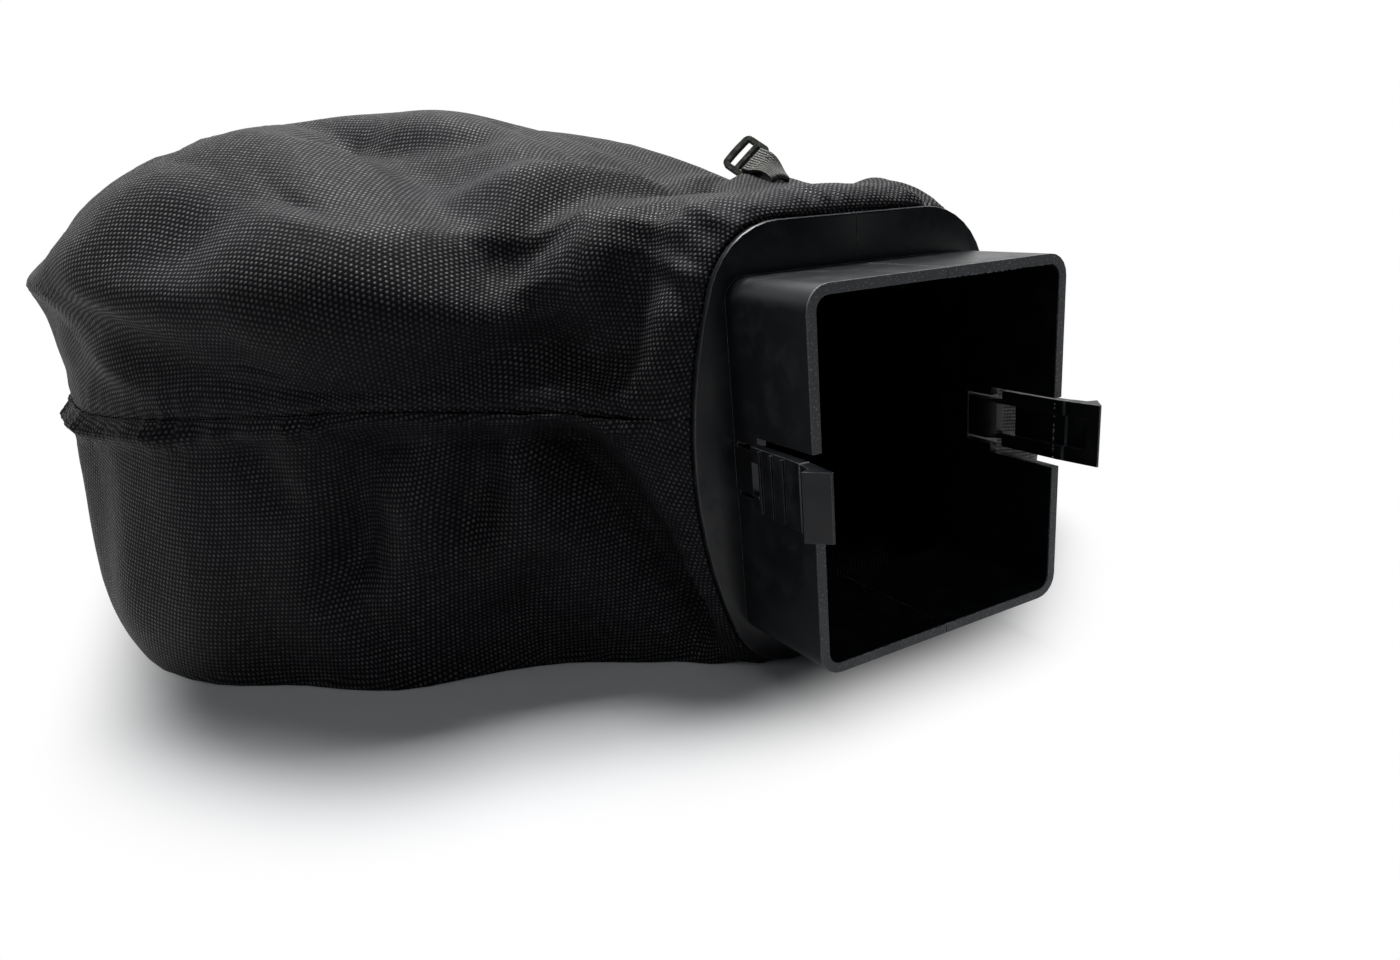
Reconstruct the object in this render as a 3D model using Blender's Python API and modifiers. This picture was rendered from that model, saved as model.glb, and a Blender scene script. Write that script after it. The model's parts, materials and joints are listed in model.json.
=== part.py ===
"""Leaf vacuum collection bag: a moulded two-part collar with a cloth bag clamped behind its flange.

Metres, +Z up. The bag lies on the ground at z = 0, its mouth faces -Y and its closed end is at +Y.
The origin is on the ground, under the middle of the whole object.
"""

import math
from collections import namedtuple

import bmesh
import bpy
from mathutils import Matrix, Vector

MM = 0.001

# Duct: the rectangular tube that goes onto the machine's outlet
DUCT_WIDTH = 94.2 * MM
DUCT_HEIGHT = 110.0 * MM
DUCT_CORNER = 7.0 * MM
DUCT_WALL = 2.9 * MM
DUCT_DRAFT = 1.1 * MM
DUCT_REACH = 38.8 * MM
SLEEVE_TAIL = 5.0 * MM

# Flange: the oval plate round the duct that the bag's neck is drawn up to
FLANGE_SIDE_BORDER = 14.8 * MM
FLANGE_TOP_BORDER = 16.0 * MM
FLANGE_SIDE_RADIUS = 156.0 * MM
FLANGE_CORNER = 26.0 * MM
FLANGE_THICK = 2.6 * MM
FLANGE_EDGE = 0.8 * MM
FLANGE_EDGE_BREAK = 0.3

# Parting of the collar into two halves, on the upright middle plane
PARTING_GAP = 0.3 * MM

# Latch: a spring arm in each side wall, with a wide pad on a narrow neck
LATCH_REACH = 12.0 * MM
LATCH_WIDTH = 19.3 * MM
LATCH_NECK = 13.8 * MM
LATCH_SLOT_GAP = 1.5 * MM
LATCH_PAD_LENGTH = 24.8 * MM
LATCH_BEND = 4.5 * MM
LATCH_STAND = 1.2 * MM
LATCH_NECK_STAND = 0.2 * MM
LATCH_THICK = 2.9 * MM
LATCH_SPLAY = 1.3 * MM
LATCH_NOSE = 0.7 * MM
LATCH_LIP = 2.9 * MM
LATCH_RAMP = 5.5 * MM
LATCH_UNDERCUT = 1.4 * MM
RIB_COUNT = 3
RIB_PITCH = 5.8 * MM
RIB_WIDTH = 1.1 * MM
RIB_HEIGHT = 0.7 * MM
RIB_START = 8.2 * MM
RECESS_WIDTH = 10.0 * MM
RECESS_DEPTH = 1.4 * MM
RECESS_BORDER = 4.0 * MM
WINDOW_LENGTH = 6.0 * MM
WINDOW_SET_FORWARD = 0.6 * MM

# Clamp inside the bag: a frame and its screws hold the neck cloth against the flange
CLOTH_THICK = 1.2 * MM
SEAT_GAP = 0.3 * MM
FRAME_INSET = 3.5 * MM
FRAME_THICK = 3.0 * MM
NECK_OVERLAP = 1.0 * MM
BOSS_RADIUS = 2.5 * MM
BOSS_OFFSET = 4.6 * MM
SCREW_RADIUS = 1.45 * MM
SCREW_HEAD_RADIUS = 4.1 * MM
SCREW_HEAD_HEIGHT = 2.2 * MM
SCREW_CROWN_SHARE = 0.55
SCREW_SHOULDER_SHARE = 0.9
SCREW_RIM_SHARE = 0.6
SCREW_TOP_SPREAD = 24.0 * MM
SCREW_SIDE_SPREAD = 22.0 * MM

# Bag, lying puffed on the ground
BAG_LENGTH = 560.0 * MM
BAG_HALF_WIDTH = 238.0 * MM
BAG_CORNER = 46.0 * MM
FLARE_SLOPE = 1.55
FLARE_SHARPNESS = 4.0
SEAM_AT_NECK = 87.5 * MM
SEAM_HEIGHT = 96.0 * MM
SEAM_AT_END = 62.0 * MM
SEAM_GAP = 1.0 * MM
NECK_BULGE = 13.0 * MM
NECK_BLEND = 62.0 * MM
NECK_ROLL = 8.0 * MM
CREST_AT_NECK = 55.5 * MM
CREST_MEAN = 91.0 * MM
CREST_SWING = 29.0 * MM
CREST_SHIFT = 30.0 * MM
CREST_SPREAD = 70.0 * MM
CREST_RUN = 155.0 * MM
LEFT_FULLNESS = 0.49
RIGHT_FALL = 0.5
RIGHT_RUN = 0.5
SHOULDER_TOP = 162.5 * MM
SHOULDER_FALL = 0.69
SHOULDER_RISE = 0.63
SHOULDER_SOFTNESS = 2.5 * MM
SHOULDER_FLOOR = 0.3
END_TAPER_START = 300.0 * MM
END_TAPER_POWER = 2.2
GROUND_PRESS = 1.35
GROUND_SQUARENESS = 0.16
GROUND_TUCK = 0.75
SIDE_BULGE = 12.0 * MM
SIDE_BULGE_RUN = 0.5
PANEL_COLUMNS = 40
PANEL_ROWS = 26
ROW_CROWDING = 1.75
COLUMN_CROWDING = 1.3
SECTION_STEPS = 96
FOLD_START = 8.0 * MM
FOLD_SEAM_ROOM = 14.0 * MM

# A fold of the cloth: places along it (x, behind the flange, height), how far from them it has died
# away to a third, and how far it stands out of the cloth round it; all in mm
Fold = namedtuple("Fold", "places half_breadth rise")
NECK_HOLLOW = Fold(((-122, 140, 200), (-107, 98, 184), (-103, 69, 165), (-99, 45, 142), (-95, 34, 98)),
                   half_breadth=20, rise=-14)
NECK_CREASE = Fold(((-95, 50, 142), (-73, 54, 157), (-43, 51, 157), (-3, 57, 157), (25, 60, 148)),
                   half_breadth=12, rise=-5)
SIDE_SWELL = Fold(((-158, 72, 146), (-140, 58, 118)), half_breadth=26, rise=7)
BROW_SWELL = Fold(((-90, 72, 172), (-60, 88, 180)), half_breadth=20, rise=3)
LOWER_CREASE = Fold(((-95, 32, 90), (-83, 23, 68), (-75, 15, 47), (-58, 8, 15)), half_breadth=11, rise=-10)
SIDE_CREASE = Fold(((-136, 53, 92), (-150, 60, 70), (-156, 64, 45)), half_breadth=11, rise=-8)
SMALL_CREASE = Fold(((-114, 41, 91), (-114, 41, 74), (-121, 44, 59)), half_breadth=10, rise=-7)
LOWER_SWELL = Fold(((-134, 50, 62), (-112, 38, 40)), half_breadth=16, rise=6)
UPPER_FOLDS = (NECK_HOLLOW, NECK_CREASE, SIDE_SWELL, BROW_SWELL)
LOWER_FOLDS = (LOWER_CREASE, SIDE_CREASE, SMALL_CREASE, LOWER_SWELL)

# Webbing tab on top of the neck, and the ladder lock that it holds
WEBBING_WIDTH = 10.0 * MM
WEBBING_THICK = 1.2 * MM
WEBBING_ROOT = 16.0 * MM
WEBBING_ARCH = 1.6
TAB_X = 3.0 * MM
TAB_SET_BACK = 40.0 * MM
LOCK_SET_BACK = 54.5 * MM
LOCK_X = 1.0 * MM
LOCK_LIFT = 3.8 * MM
LOCK_WIDTH = 14.4 * MM
LOCK_THICK = 2.2 * MM
LOCK_BAR = 2.0 * MM
LOCK_SLOT = 2.7 * MM
LOCK_CORNER = 2.0 * MM
LOCK_ALONG = (-0.317, 0.780, 0.537)
LOCK_ACROSS = (0.751, -0.173, 0.633)

# Places worked out from the sizes above
FLANGE_WIDTH = DUCT_WIDTH + 2 * FLANGE_SIDE_BORDER
FLANGE_HEIGHT = DUCT_HEIGHT + 2 * FLANGE_TOP_BORDER
AXIS_Z = FLANGE_HEIGHT / 2
MOUTH_Y = -(DUCT_REACH + FLANGE_THICK + BAG_LENGTH - LATCH_REACH) / 2
FLANGE_FRONT = MOUTH_Y + DUCT_REACH
FLANGE_BACK = FLANGE_FRONT + FLANGE_THICK
CLOTH_FACE = FLANGE_BACK + SEAT_GAP
FRAME_FRONT = CLOTH_FACE + CLOTH_THICK + SEAT_GAP
FRAME_BACK = FRAME_FRONT + FRAME_THICK
SLEEVE_END = FRAME_BACK + SLEEVE_TAIL
SLEEVE_HALF_WIDTH = DUCT_WIDTH / 2 + DUCT_DRAFT
SLEEVE_HALF_HEIGHT = DUCT_HEIGHT / 2 + DUCT_DRAFT
BAG_END = FLANGE_BACK + BAG_LENGTH

# Facets of round stretches
CORNER_STEPS = 5
SIDE_STEPS = 5
WEBBING_STEPS = 6
LOCK_CORNER_STEPS = 3
SCREW_SIDES = 12
OVERSHOOT = 4.0 * MM
MERGE = 0.01 * MM


def make_collection(name):
    collection = bpy.data.collections.new(name)
    bpy.context.scene.collection.children.link(collection)
    return collection


def make_material(name, colour, roughness):
    material = bpy.data.materials.new(name)
    material.use_nodes = True
    shader = material.node_tree.nodes["Principled BSDF"]
    shader.inputs["Base Color"].default_value = (*colour, 1.0)
    shader.inputs["Roughness"].default_value = roughness
    shader.inputs["Metallic"].default_value = 0.0
    return material


def add_object(name, mesh_data, collection, material=None):
    """Turns a bmesh into an object in a collection."""
    mesh = bpy.data.meshes.new(name)
    mesh_data.to_mesh(mesh)
    mesh_data.free()
    if material:
        mesh.materials.append(material)
    piece = bpy.data.objects.new(name, mesh)
    collection.objects.link(piece)
    return piece


def add_tool(name, mesh_data, tools):
    """A shape that only cuts or joins others: drawn as wire and left out of the object."""
    tool = add_object(name, mesh_data, tools)
    tool.hide_render = True
    tool.display_type = "WIRE"
    return tool


def combine(piece, tool, operation):
    """Joins a tool to a piece (UNION) or cuts it away (DIFFERENCE)."""
    modifier = piece.modifiers.new(f"{operation.lower()} {tool.name}", "BOOLEAN")
    modifier.operation = operation
    modifier.solver = "EXACT"
    modifier.object = tool


def box(low, high):
    """Closed box between two corners."""
    low, high = Vector(low), Vector(high)
    body = bmesh.new()
    bmesh.ops.create_cube(body, size=1.0)
    bmesh.ops.scale(body, vec=high - low, verts=body.verts)
    bmesh.ops.translate(body, vec=(low + high) / 2, verts=body.verts)
    return body


def rod(radius, start_y, end_y, x, z):
    """Closed cylinder along Y."""
    body = bmesh.new()
    bmesh.ops.create_cone(body, cap_ends=True, segments=SCREW_SIDES, radius1=radius, radius2=radius,
                          depth=end_y - start_y)
    bmesh.ops.rotate(body, cent=(0, 0, 0), matrix=Matrix.Rotation(math.pi / 2, 3, "X"),
                     verts=body.verts)
    bmesh.ops.translate(body, vec=(x, (start_y + end_y) / 2, z), verts=body.verts)
    return body


def prism(outline, axis, low, high):
    """Extrudes a closed outline along X or Z between two places."""
    body = bmesh.new()
    if axis == "X":
        corners = [body.verts.new((low, a, b)) for a, b in outline]
        along = Vector((high - low, 0, 0))
    else:
        corners = [body.verts.new((a, b, low)) for a, b in outline]
        along = Vector((0, 0, high - low))
    face = body.faces.new(corners)
    swept = bmesh.ops.extrude_face_region(body, geom=[face], use_keep_orig=True)
    moved = [item for item in swept["geom"] if isinstance(item, bmesh.types.BMVert)]
    bmesh.ops.translate(body, vec=along, verts=moved)
    bmesh.ops.recalc_face_normals(body, faces=body.faces)
    return body


def arc(centre_x, centre_z, radius, start, end, steps):
    """Points along an arc in the X-Z plane, both ends included; angles in radians."""
    angles = [start + (end - start) * step / steps for step in range(steps + 1)]
    return [(centre_x + radius * math.cos(a), centre_z + radius * math.sin(a)) for a in angles]


def four_quarters(quarter):
    """Closed outline from its first quarter, which runs from the X axis to the Z axis."""
    left = [(-x, z) for x, z in reversed(quarter)]
    below_left = [(-x, -z) for x, z in quarter]
    below_right = [(x, -z) for x, z in reversed(quarter)]
    return quarter + left + below_left + below_right


def duct_outline(half_width, half_height, corner):
    """Rectangle with round corners, about the duct's axis."""
    return four_quarters(
        arc(half_width - corner, half_height - corner, corner, 0, math.pi / 2, CORNER_STEPS))


def flange_quarter(grow):
    """A quarter of the flange's outline: a slow side arc that runs into a corner arc.

    A positive grow is an outline that much outside the flange's own.
    """
    side_centre = FLANGE_WIDTH / 2 - FLANGE_SIDE_RADIUS
    corner_z = FLANGE_HEIGHT / 2 - FLANGE_CORNER
    corner_run = math.sqrt((FLANGE_SIDE_RADIUS - FLANGE_CORNER) ** 2 - corner_z ** 2)
    turn = math.atan2(corner_z, corner_run)
    side = arc(side_centre, 0, FLANGE_SIDE_RADIUS + grow, 0, turn, SIDE_STEPS)
    corner = arc(side_centre + corner_run, corner_z, FLANGE_CORNER + grow, turn, math.pi / 2,
                 CORNER_STEPS + 2)
    return side + corner[1:]


def flange_outline(grow=0.0):
    """The flange's whole outline, without the doubled points on the X axis."""
    quarter = flange_quarter(grow)
    outline = four_quarters(quarter)
    return [point for index, point in enumerate(outline) if point != outline[index - 1]]


def loft(sections):
    """Closed body through outlines of as many points each, from front to back along Y."""
    body = bmesh.new()
    loops = [[body.verts.new((x, y, AXIS_Z + z)) for x, z in outline] for outline, y in sections]
    for near, far in zip(loops, loops[1:]):
        for index in range(len(near)):
            body.faces.new((near[index], near[index - 1], far[index - 1], far[index]))
    body.faces.new(loops[0])
    body.faces.new(reversed(loops[-1]))
    bmesh.ops.recalc_face_normals(body, faces=body.faces)
    return body


def spread_along(points, count):
    """Points along a line of points, in steps that grow from its first end to its last."""
    lengths = [0.0]
    for start, end in zip(points, points[1:]):
        lengths.append(lengths[-1] + math.dist(start, end))
    spread = []
    segment = 0
    for step in range(count + 1):
        target = lengths[-1] * (step / count) ** COLUMN_CROWDING
        while segment < len(points) - 2 and lengths[segment + 1] < target:
            segment += 1
        share = (target - lengths[segment]) / (lengths[segment + 1] - lengths[segment])
        (x0, z0), (x1, z1) = points[segment], points[segment + 1]
        spread.append((x0 + (x1 - x0) * share, z0 + (z1 - z0) * share))
    return spread


def ease(value):
    """Smooth step from 0 to 1."""
    value = min(max(value, 0.0), 1.0)
    return value * value * (3 - 2 * value)


def duct_body(wall, overshoot):
    """The drafted duct as a solid: its outside with no wall taken off, its bore with the wall off."""
    def outline(draft):
        return duct_outline(DUCT_WIDTH / 2 + draft - wall, DUCT_HEIGHT / 2 + draft - wall,
                            DUCT_CORNER - wall)

    lead = DUCT_DRAFT * overshoot / DUCT_REACH
    return loft([
        (outline(-lead), MOUTH_Y - overshoot),
        (outline(DUCT_DRAFT), FLANGE_FRONT),
        (outline(DUCT_DRAFT), SLEEVE_END + overshoot),
    ])


def flange_body():
    """The oval plate with a softened rim."""
    edge_break = FLANGE_EDGE * FLANGE_EDGE_BREAK
    back_edge = FLANGE_EDGE / 2
    return loft([
        (flange_outline(-FLANGE_EDGE), FLANGE_FRONT),
        (flange_outline(-edge_break), FLANGE_FRONT + edge_break),
        (flange_outline(), FLANGE_FRONT + FLANGE_EDGE),
        (flange_outline(), FLANGE_BACK - back_edge),
        (flange_outline(-back_edge), FLANGE_BACK),
    ])


def latch_slot():
    """The opening in the side wall that the latch springs in: wide at the pad, narrow at the neck."""
    pad = LATCH_WIDTH / 2 + LATCH_SLOT_GAP
    neck = LATCH_NECK / 2 + LATCH_SLOT_GAP
    front, step = MOUTH_Y - OVERSHOOT, MOUTH_Y + LATCH_PAD_LENGTH + LATCH_SLOT_GAP
    back = FLANGE_FRONT - LATCH_SLOT_GAP
    outline = [(front, AXIS_Z - pad), (step, AXIS_Z - pad), (step, AXIS_Z - neck),
               (back, AXIS_Z - neck), (back, AXIS_Z + neck), (step, AXIS_Z + neck),
               (step, AXIS_Z + pad), (front, AXIS_Z + pad)]
    return prism(outline, "X", DUCT_WIDTH / 2 - DUCT_WALL - OVERSHOOT,
                 DUCT_WIDTH / 2 + DUCT_DRAFT + OVERSHOOT)


def latch_arm():
    """The spring arm in side view, from its root in the flange to the hook at its tip."""
    wall_out = DUCT_WIDTH / 2 + DUCT_DRAFT
    neck_out = wall_out + LATCH_NECK_STAND
    neck_in = neck_out - LATCH_THICK
    pad_in = DUCT_WIDTH / 2 + LATCH_STAND
    tip_in = pad_in + LATCH_SPLAY
    root, tip = FLANGE_FRONT + FLANGE_THICK / 2, MOUTH_Y - LATCH_REACH
    pad_back, pad_front = MOUTH_Y + LATCH_PAD_LENGTH, MOUTH_Y + LATCH_BEND / 2
    lip = tip + LATCH_RAMP
    outline = [
        (neck_in, root), (neck_in, pad_back + LATCH_BEND), (pad_in, pad_back), (pad_in, pad_front),
        (tip_in, tip), (tip_in + LATCH_NOSE, tip), (tip_in + LATCH_THICK + LATCH_LIP, lip),
        (tip_in + LATCH_THICK, lip + LATCH_UNDERCUT), (pad_in + LATCH_THICK, pad_front),
        (pad_in + LATCH_THICK, pad_back), (neck_out, pad_back + LATCH_BEND), (neck_out, root),
    ]
    return prism(outline, "Z", AXIS_Z - LATCH_WIDTH / 2, AXIS_Z + LATCH_WIDTH / 2)


def latch_recess():
    """The shallow panel moulded into the arm's inner face, which follows the arm's splay."""
    pad_in = DUCT_WIDTH / 2 + LATCH_STAND
    floor = pad_in + RECESS_DEPTH
    front = MOUTH_Y - LATCH_REACH + RECESS_BORDER
    bend, back = MOUTH_Y + LATCH_BEND / 2, MOUTH_Y + LATCH_PAD_LENGTH - RECESS_BORDER
    splay = LATCH_SPLAY * (bend - front) / (bend - MOUTH_Y + LATCH_REACH)
    outline = [(pad_in - OVERSHOOT, front), (floor + splay, front), (floor, bend), (floor, back),
               (pad_in - OVERSHOOT, back)]
    return prism(outline, "Z", AXIS_Z - RECESS_WIDTH / 2, AXIS_Z + RECESS_WIDTH / 2)


def screw_places():
    """Axis places (x, z from the duct's axis) of the frame screws, counted round the clamp."""
    top = SLEEVE_HALF_HEIGHT + BOSS_OFFSET
    side = SLEEVE_HALF_WIDTH + BOSS_OFFSET
    return [(SCREW_TOP_SPREAD, top), (side, SCREW_SIDE_SPREAD), (side, -SCREW_SIDE_SPREAD),
            (SCREW_TOP_SPREAD, -top), (-SCREW_TOP_SPREAD, -top), (-side, -SCREW_SIDE_SPREAD),
            (-side, SCREW_SIDE_SPREAD), (-SCREW_TOP_SPREAD, top)]


def latch_rib(index):
    """One of the grip ribs on the pad's outer face, counted from the mouth."""
    face = DUCT_WIDTH / 2 + LATCH_STAND + LATCH_THICK
    y = MOUTH_Y + RIB_START + index * RIB_PITCH
    reach = (LATCH_WIDTH - RIB_WIDTH) / 2
    return box((face - RIB_WIDTH, y - RIB_WIDTH / 2, AXIS_Z - reach),
               (face + RIB_HEIGHT, y + RIB_WIDTH / 2, AXIS_Z + reach))


def latch_window():
    """The cutter of the small opening through the pad, at the back of its recess."""
    front = MOUTH_Y + LATCH_PAD_LENGTH - RECESS_BORDER - WINDOW_SET_FORWARD
    return box((DUCT_WIDTH / 2 - DUCT_WALL - OVERSHOOT, front, AXIS_Z - RECESS_WIDTH / 2),
               (DUCT_WIDTH / 2 + LATCH_STAND + LATCH_THICK + OVERSHOOT, front + WINDOW_LENGTH,
                AXIS_Z + RECESS_WIDTH / 2))


def build_latch(name, tools):
    """The whole latch as one shape to be joined to its half of the collar."""
    arm = add_tool(f"{name} arm", latch_arm(), tools)
    wall_in = DUCT_WIDTH / 2 - DUCT_WALL
    neck_start = MOUTH_Y + LATCH_PAD_LENGTH
    for label, low_z, high_z in (("above", LATCH_NECK / 2, LATCH_WIDTH),
                                 ("below", -LATCH_WIDTH, -LATCH_NECK / 2)):
        beside = box((wall_in, neck_start, AXIS_Z + low_z),
                     (wall_in + LATCH_WIDTH, FLANGE_BACK, AXIS_Z + high_z))
        combine(arm, add_tool(f"{name} beside neck {label}", beside, tools), "DIFFERENCE")
    for index in range(RIB_COUNT):
        combine(arm, add_tool(f"{name} rib {index}", latch_rib(index), tools), "UNION")
    combine(arm, add_tool(f"{name} recess", latch_recess(), tools), "DIFFERENCE")
    combine(arm, add_tool(f"{name} window", latch_window(), tools), "DIFFERENCE")
    return arm


def build_collar_half(name, parts, tools, material):
    """One moulded half of the collar: half duct, half flange, a latch and the screw bosses.

    It is shaped on the +X side of the middle plane.
    """
    half = add_object(name, duct_body(0.0, 0.0), parts, material)
    combine(half, add_tool(f"{name} flange", flange_body(), tools), "UNION")
    boss_end = FRAME_BACK - SEAT_GAP
    own_screws = [place for place in screw_places() if place[0] > 0]
    for index, (x, z) in enumerate(own_screws):
        boss = rod(BOSS_RADIUS, FLANGE_BACK - FLANGE_THICK / 2, boss_end, x, AXIS_Z + z)
        combine(half, add_tool(f"{name} boss {index}", boss, tools), "UNION")
    combine(half, add_tool(f"{name} bore", duct_body(DUCT_WALL, OVERSHOOT), tools), "DIFFERENCE")
    combine(half, add_tool(f"{name} slot", latch_slot(), tools), "DIFFERENCE")
    combine(half, build_latch(name, tools), "UNION")
    for index, (x, z) in enumerate(own_screws):
        pilot = rod(SCREW_RADIUS + SEAT_GAP, FLANGE_FRONT + FLANGE_THICK / 2,
                    boss_end + OVERSHOOT, x, AXIS_Z + z)
        combine(half, add_tool(f"{name} pilot {index}", pilot, tools), "DIFFERENCE")
    far = FLANGE_WIDTH
    other = box((-far, MOUTH_Y - far, -far), (PARTING_GAP / 2, SLEEVE_END + far, 2 * far))
    combine(half, add_tool(f"{name} parting", other, tools), "DIFFERENCE")
    return half


def freeze(piece):
    """Applies a piece's modifiers, so that its mesh can be mirrored or shared."""
    graph = bpy.context.evaluated_depsgraph_get()
    mesh = bpy.data.meshes.new_from_object(piece.evaluated_get(graph))
    piece.modifiers.clear()
    piece.data = mesh


def mirror_half(piece, name, parts):
    """A copy of a finished half on the other side of the middle plane."""
    body = bmesh.new()
    body.from_mesh(piece.data)
    bmesh.ops.scale(body, vec=(-1, 1, 1), verts=body.verts)
    bmesh.ops.reverse_faces(body, faces=body.faces)
    return add_object(name, body, parts, piece.data.materials[0])


def build_frame(parts, tools, material):
    """The ring that clamps the neck cloth: it slips over the sleeve and the bosses."""
    outline = flange_outline(-FRAME_INSET)
    frame = add_object("retaining_frame", loft([(outline, FRAME_FRONT), (outline, FRAME_BACK)]),
                       parts, material)
    clear = duct_outline(SLEEVE_HALF_WIDTH + SEAT_GAP, SLEEVE_HALF_HEIGHT + SEAT_GAP,
                         DUCT_CORNER + SEAT_GAP)
    hole = loft([(clear, FRAME_FRONT - OVERSHOOT), (clear, FRAME_BACK + OVERSHOOT)])
    combine(frame, add_tool("frame hole", hole, tools), "DIFFERENCE")
    for index, (x, z) in enumerate(screw_places()):
        room = rod(BOSS_RADIUS + SEAT_GAP, FRAME_FRONT - OVERSHOOT, FRAME_BACK + OVERSHOOT, x,
                   AXIS_Z + z)
        combine(frame, add_tool(f"frame boss room {index}", room, tools), "DIFFERENCE")
    return frame


def build_screws(parts, material):
    """Pan-head screws, turned about their own axis, driven from inside the bag."""
    shank = FRAME_BACK - FLANGE_FRONT - FLANGE_THICK / 2 - SEAT_GAP
    head, top = SCREW_HEAD_RADIUS, SCREW_HEAD_HEIGHT
    profile = [(0, top), (head * SCREW_CROWN_SHARE, top),
               (head * SCREW_SHOULDER_SHARE, top * SCREW_RIM_SHARE), (head, 0), (SCREW_RADIUS, 0),
               (SCREW_RADIUS, SCREW_RADIUS - shank), (0, -shank)]
    body = bmesh.new()
    points = [body.verts.new((radius, 0, height)) for radius, height in profile]
    for start, end in zip(points, points[1:]):
        body.edges.new((start, end))
    first = add_object("frame_screw_1", body, parts, material)
    turn = first.modifiers.new("turn", "SCREW")
    turn.steps = SCREW_SIDES
    turn.render_steps = SCREW_SIDES
    turn.use_merge_vertices = True
    turn.merge_threshold = MERGE
    for index, (x, z) in enumerate(screw_places()):
        screw = first
        if index:
            screw = first.copy()
            screw.name = f"frame_screw_{index + 1}"
            parts.objects.link(screw)
        screw.location = (x, FRAME_BACK + SEAT_GAP, AXIS_Z + z)
        screw.rotation_euler = (-math.pi / 2, 0, 0)


def half_width(y):
    """The bag's half width in plan: it flares from the neck and rounds off at the far corners."""
    reach = FLARE_SLOPE * (y - FLANGE_BACK) / (BAG_HALF_WIDTH - FLANGE_WIDTH / 2)
    share = reach / (1 + reach ** FLARE_SHARPNESS) ** (1 / FLARE_SHARPNESS)
    width = FLANGE_WIDTH / 2 + (BAG_HALF_WIDTH - FLANGE_WIDTH / 2) * share
    into_corner = (y - BAG_END + BAG_CORNER) / BAG_CORNER
    if into_corner > 0:
        width -= BAG_CORNER * (1 - math.sqrt(max(1 - into_corner ** 2, 0)))
    return width


def seam_height(y):
    """Height of the seam above the ground."""
    behind = y - FLANGE_BACK
    rise = ease(behind / NECK_BLEND)
    fall = ease((behind - END_TAPER_START) / (BAG_LENGTH - END_TAPER_START))
    height = SEAM_AT_NECK + (SEAM_HEIGHT - SEAM_AT_NECK) * rise
    return height + (SEAM_AT_END - SEAM_HEIGHT) * fall


def end_taper(y):
    """Share of the full height that is left towards the closed end."""
    into = (y - FLANGE_BACK - END_TAPER_START) / (BAG_LENGTH - END_TAPER_START)
    return math.sqrt(max(1 - max(into, 0.0) ** END_TAPER_POWER, 0.0))


def shoulder(x, behind, z):
    """Keeps a point under the right shoulder, a slope that falls to the right and rises to the back."""
    limit = SHOULDER_TOP - SHOULDER_FALL * x + SHOULDER_RISE * behind
    return z - SHOULDER_SOFTNESS * math.log1p(math.exp((z - limit) / SHOULDER_SOFTNESS))


def upper_pillow(y):
    """Puffed section above the seam: high on the left, lower and leaner on the right."""
    behind = y - FLANGE_BACK
    run = ease(behind / CREST_RUN)
    mean = CREST_AT_NECK + (CREST_MEAN - CREST_AT_NECK) * run
    points = []
    for step in range(SECTION_STEPS + 1):
        angle = math.pi * (1 - step / SECTION_STEPS)
        across, up = math.cos(angle), max(math.sin(angle), 0.0)
        x = half_width(y) * across
        swing = CREST_SWING * run * math.tanh((x + CREST_SHIFT) / CREST_SPREAD)
        right = ease(across / RIGHT_RUN)
        height = (mean - swing) * end_taper(y)
        points.append((x, seam_height(y) + height * up ** (LEFT_FULLNESS + RIGHT_FALL * right)))
    return points


def lower_pillow(y):
    """Section below the seam: steep sagging sides that turn under and lie flat on the ground."""
    taper = end_taper(y)
    bulge = SIDE_BULGE * ease((y - FLANGE_BACK) / CREST_RUN) * taper
    points = []
    for step in range(SECTION_STEPS + 1):
        angle = math.pi * (1 - step / SECTION_STEPS)
        across, up = math.cos(angle), max(math.sin(angle), 0.0)
        width = half_width(y) + bulge * ease(up / SIDE_BULGE_RUN)
        x = math.copysign(abs(across) ** GROUND_SQUARENESS, across) * width
        drop = seam_height(y) * GROUND_PRESS * taper * up ** GROUND_TUCK
        points.append((x, seam_height(y) - drop))
    return points


def panel_part(outline, upper):
    """The part of an outline that one panel follows, from the left seam to the right seam."""
    seam = SEAM_AT_NECK - AXIS_Z
    sign = 1 if upper else -1
    kept = [(x, z) for x, z in outline if (z - seam) * sign > CLOTH_THICK / 2]
    kept.sort(key=lambda point: math.atan2(point[0], sign * (point[1] - seam)))
    return [(kept[0][0], seam)] + kept + [(kept[-1][0], seam)]


def neck_line(grow, upper):
    """One panel's part of the flange's outline, grown outwards."""
    return panel_part(flange_outline(grow), upper)


def section(upper, y):
    """A panel's outer face in the plane at y: the neck's outline turns into the pillow's."""
    behind = y - FLANGE_BACK
    bulge = NECK_BULGE * (1 - math.exp(-behind / NECK_ROLL))
    blend = ease(behind / NECK_BLEND)
    neck = spread_along(neck_line(bulge, upper), PANEL_COLUMNS)
    pillow = spread_along(upper_pillow(y) if upper else lower_pillow(y), PANEL_COLUMNS)
    points = [(neck_x + (x - neck_x) * blend, AXIS_Z + neck_z + (z - AXIS_Z - neck_z) * blend)
              for (neck_x, neck_z), (x, z) in zip(neck, pillow)]
    if upper:
        seam = points[0][1]
        points = [(x, max(shoulder(x, behind, z), seam + (z - seam) * SHOULDER_FLOOR))
                  for x, z in points]
    return points


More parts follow.
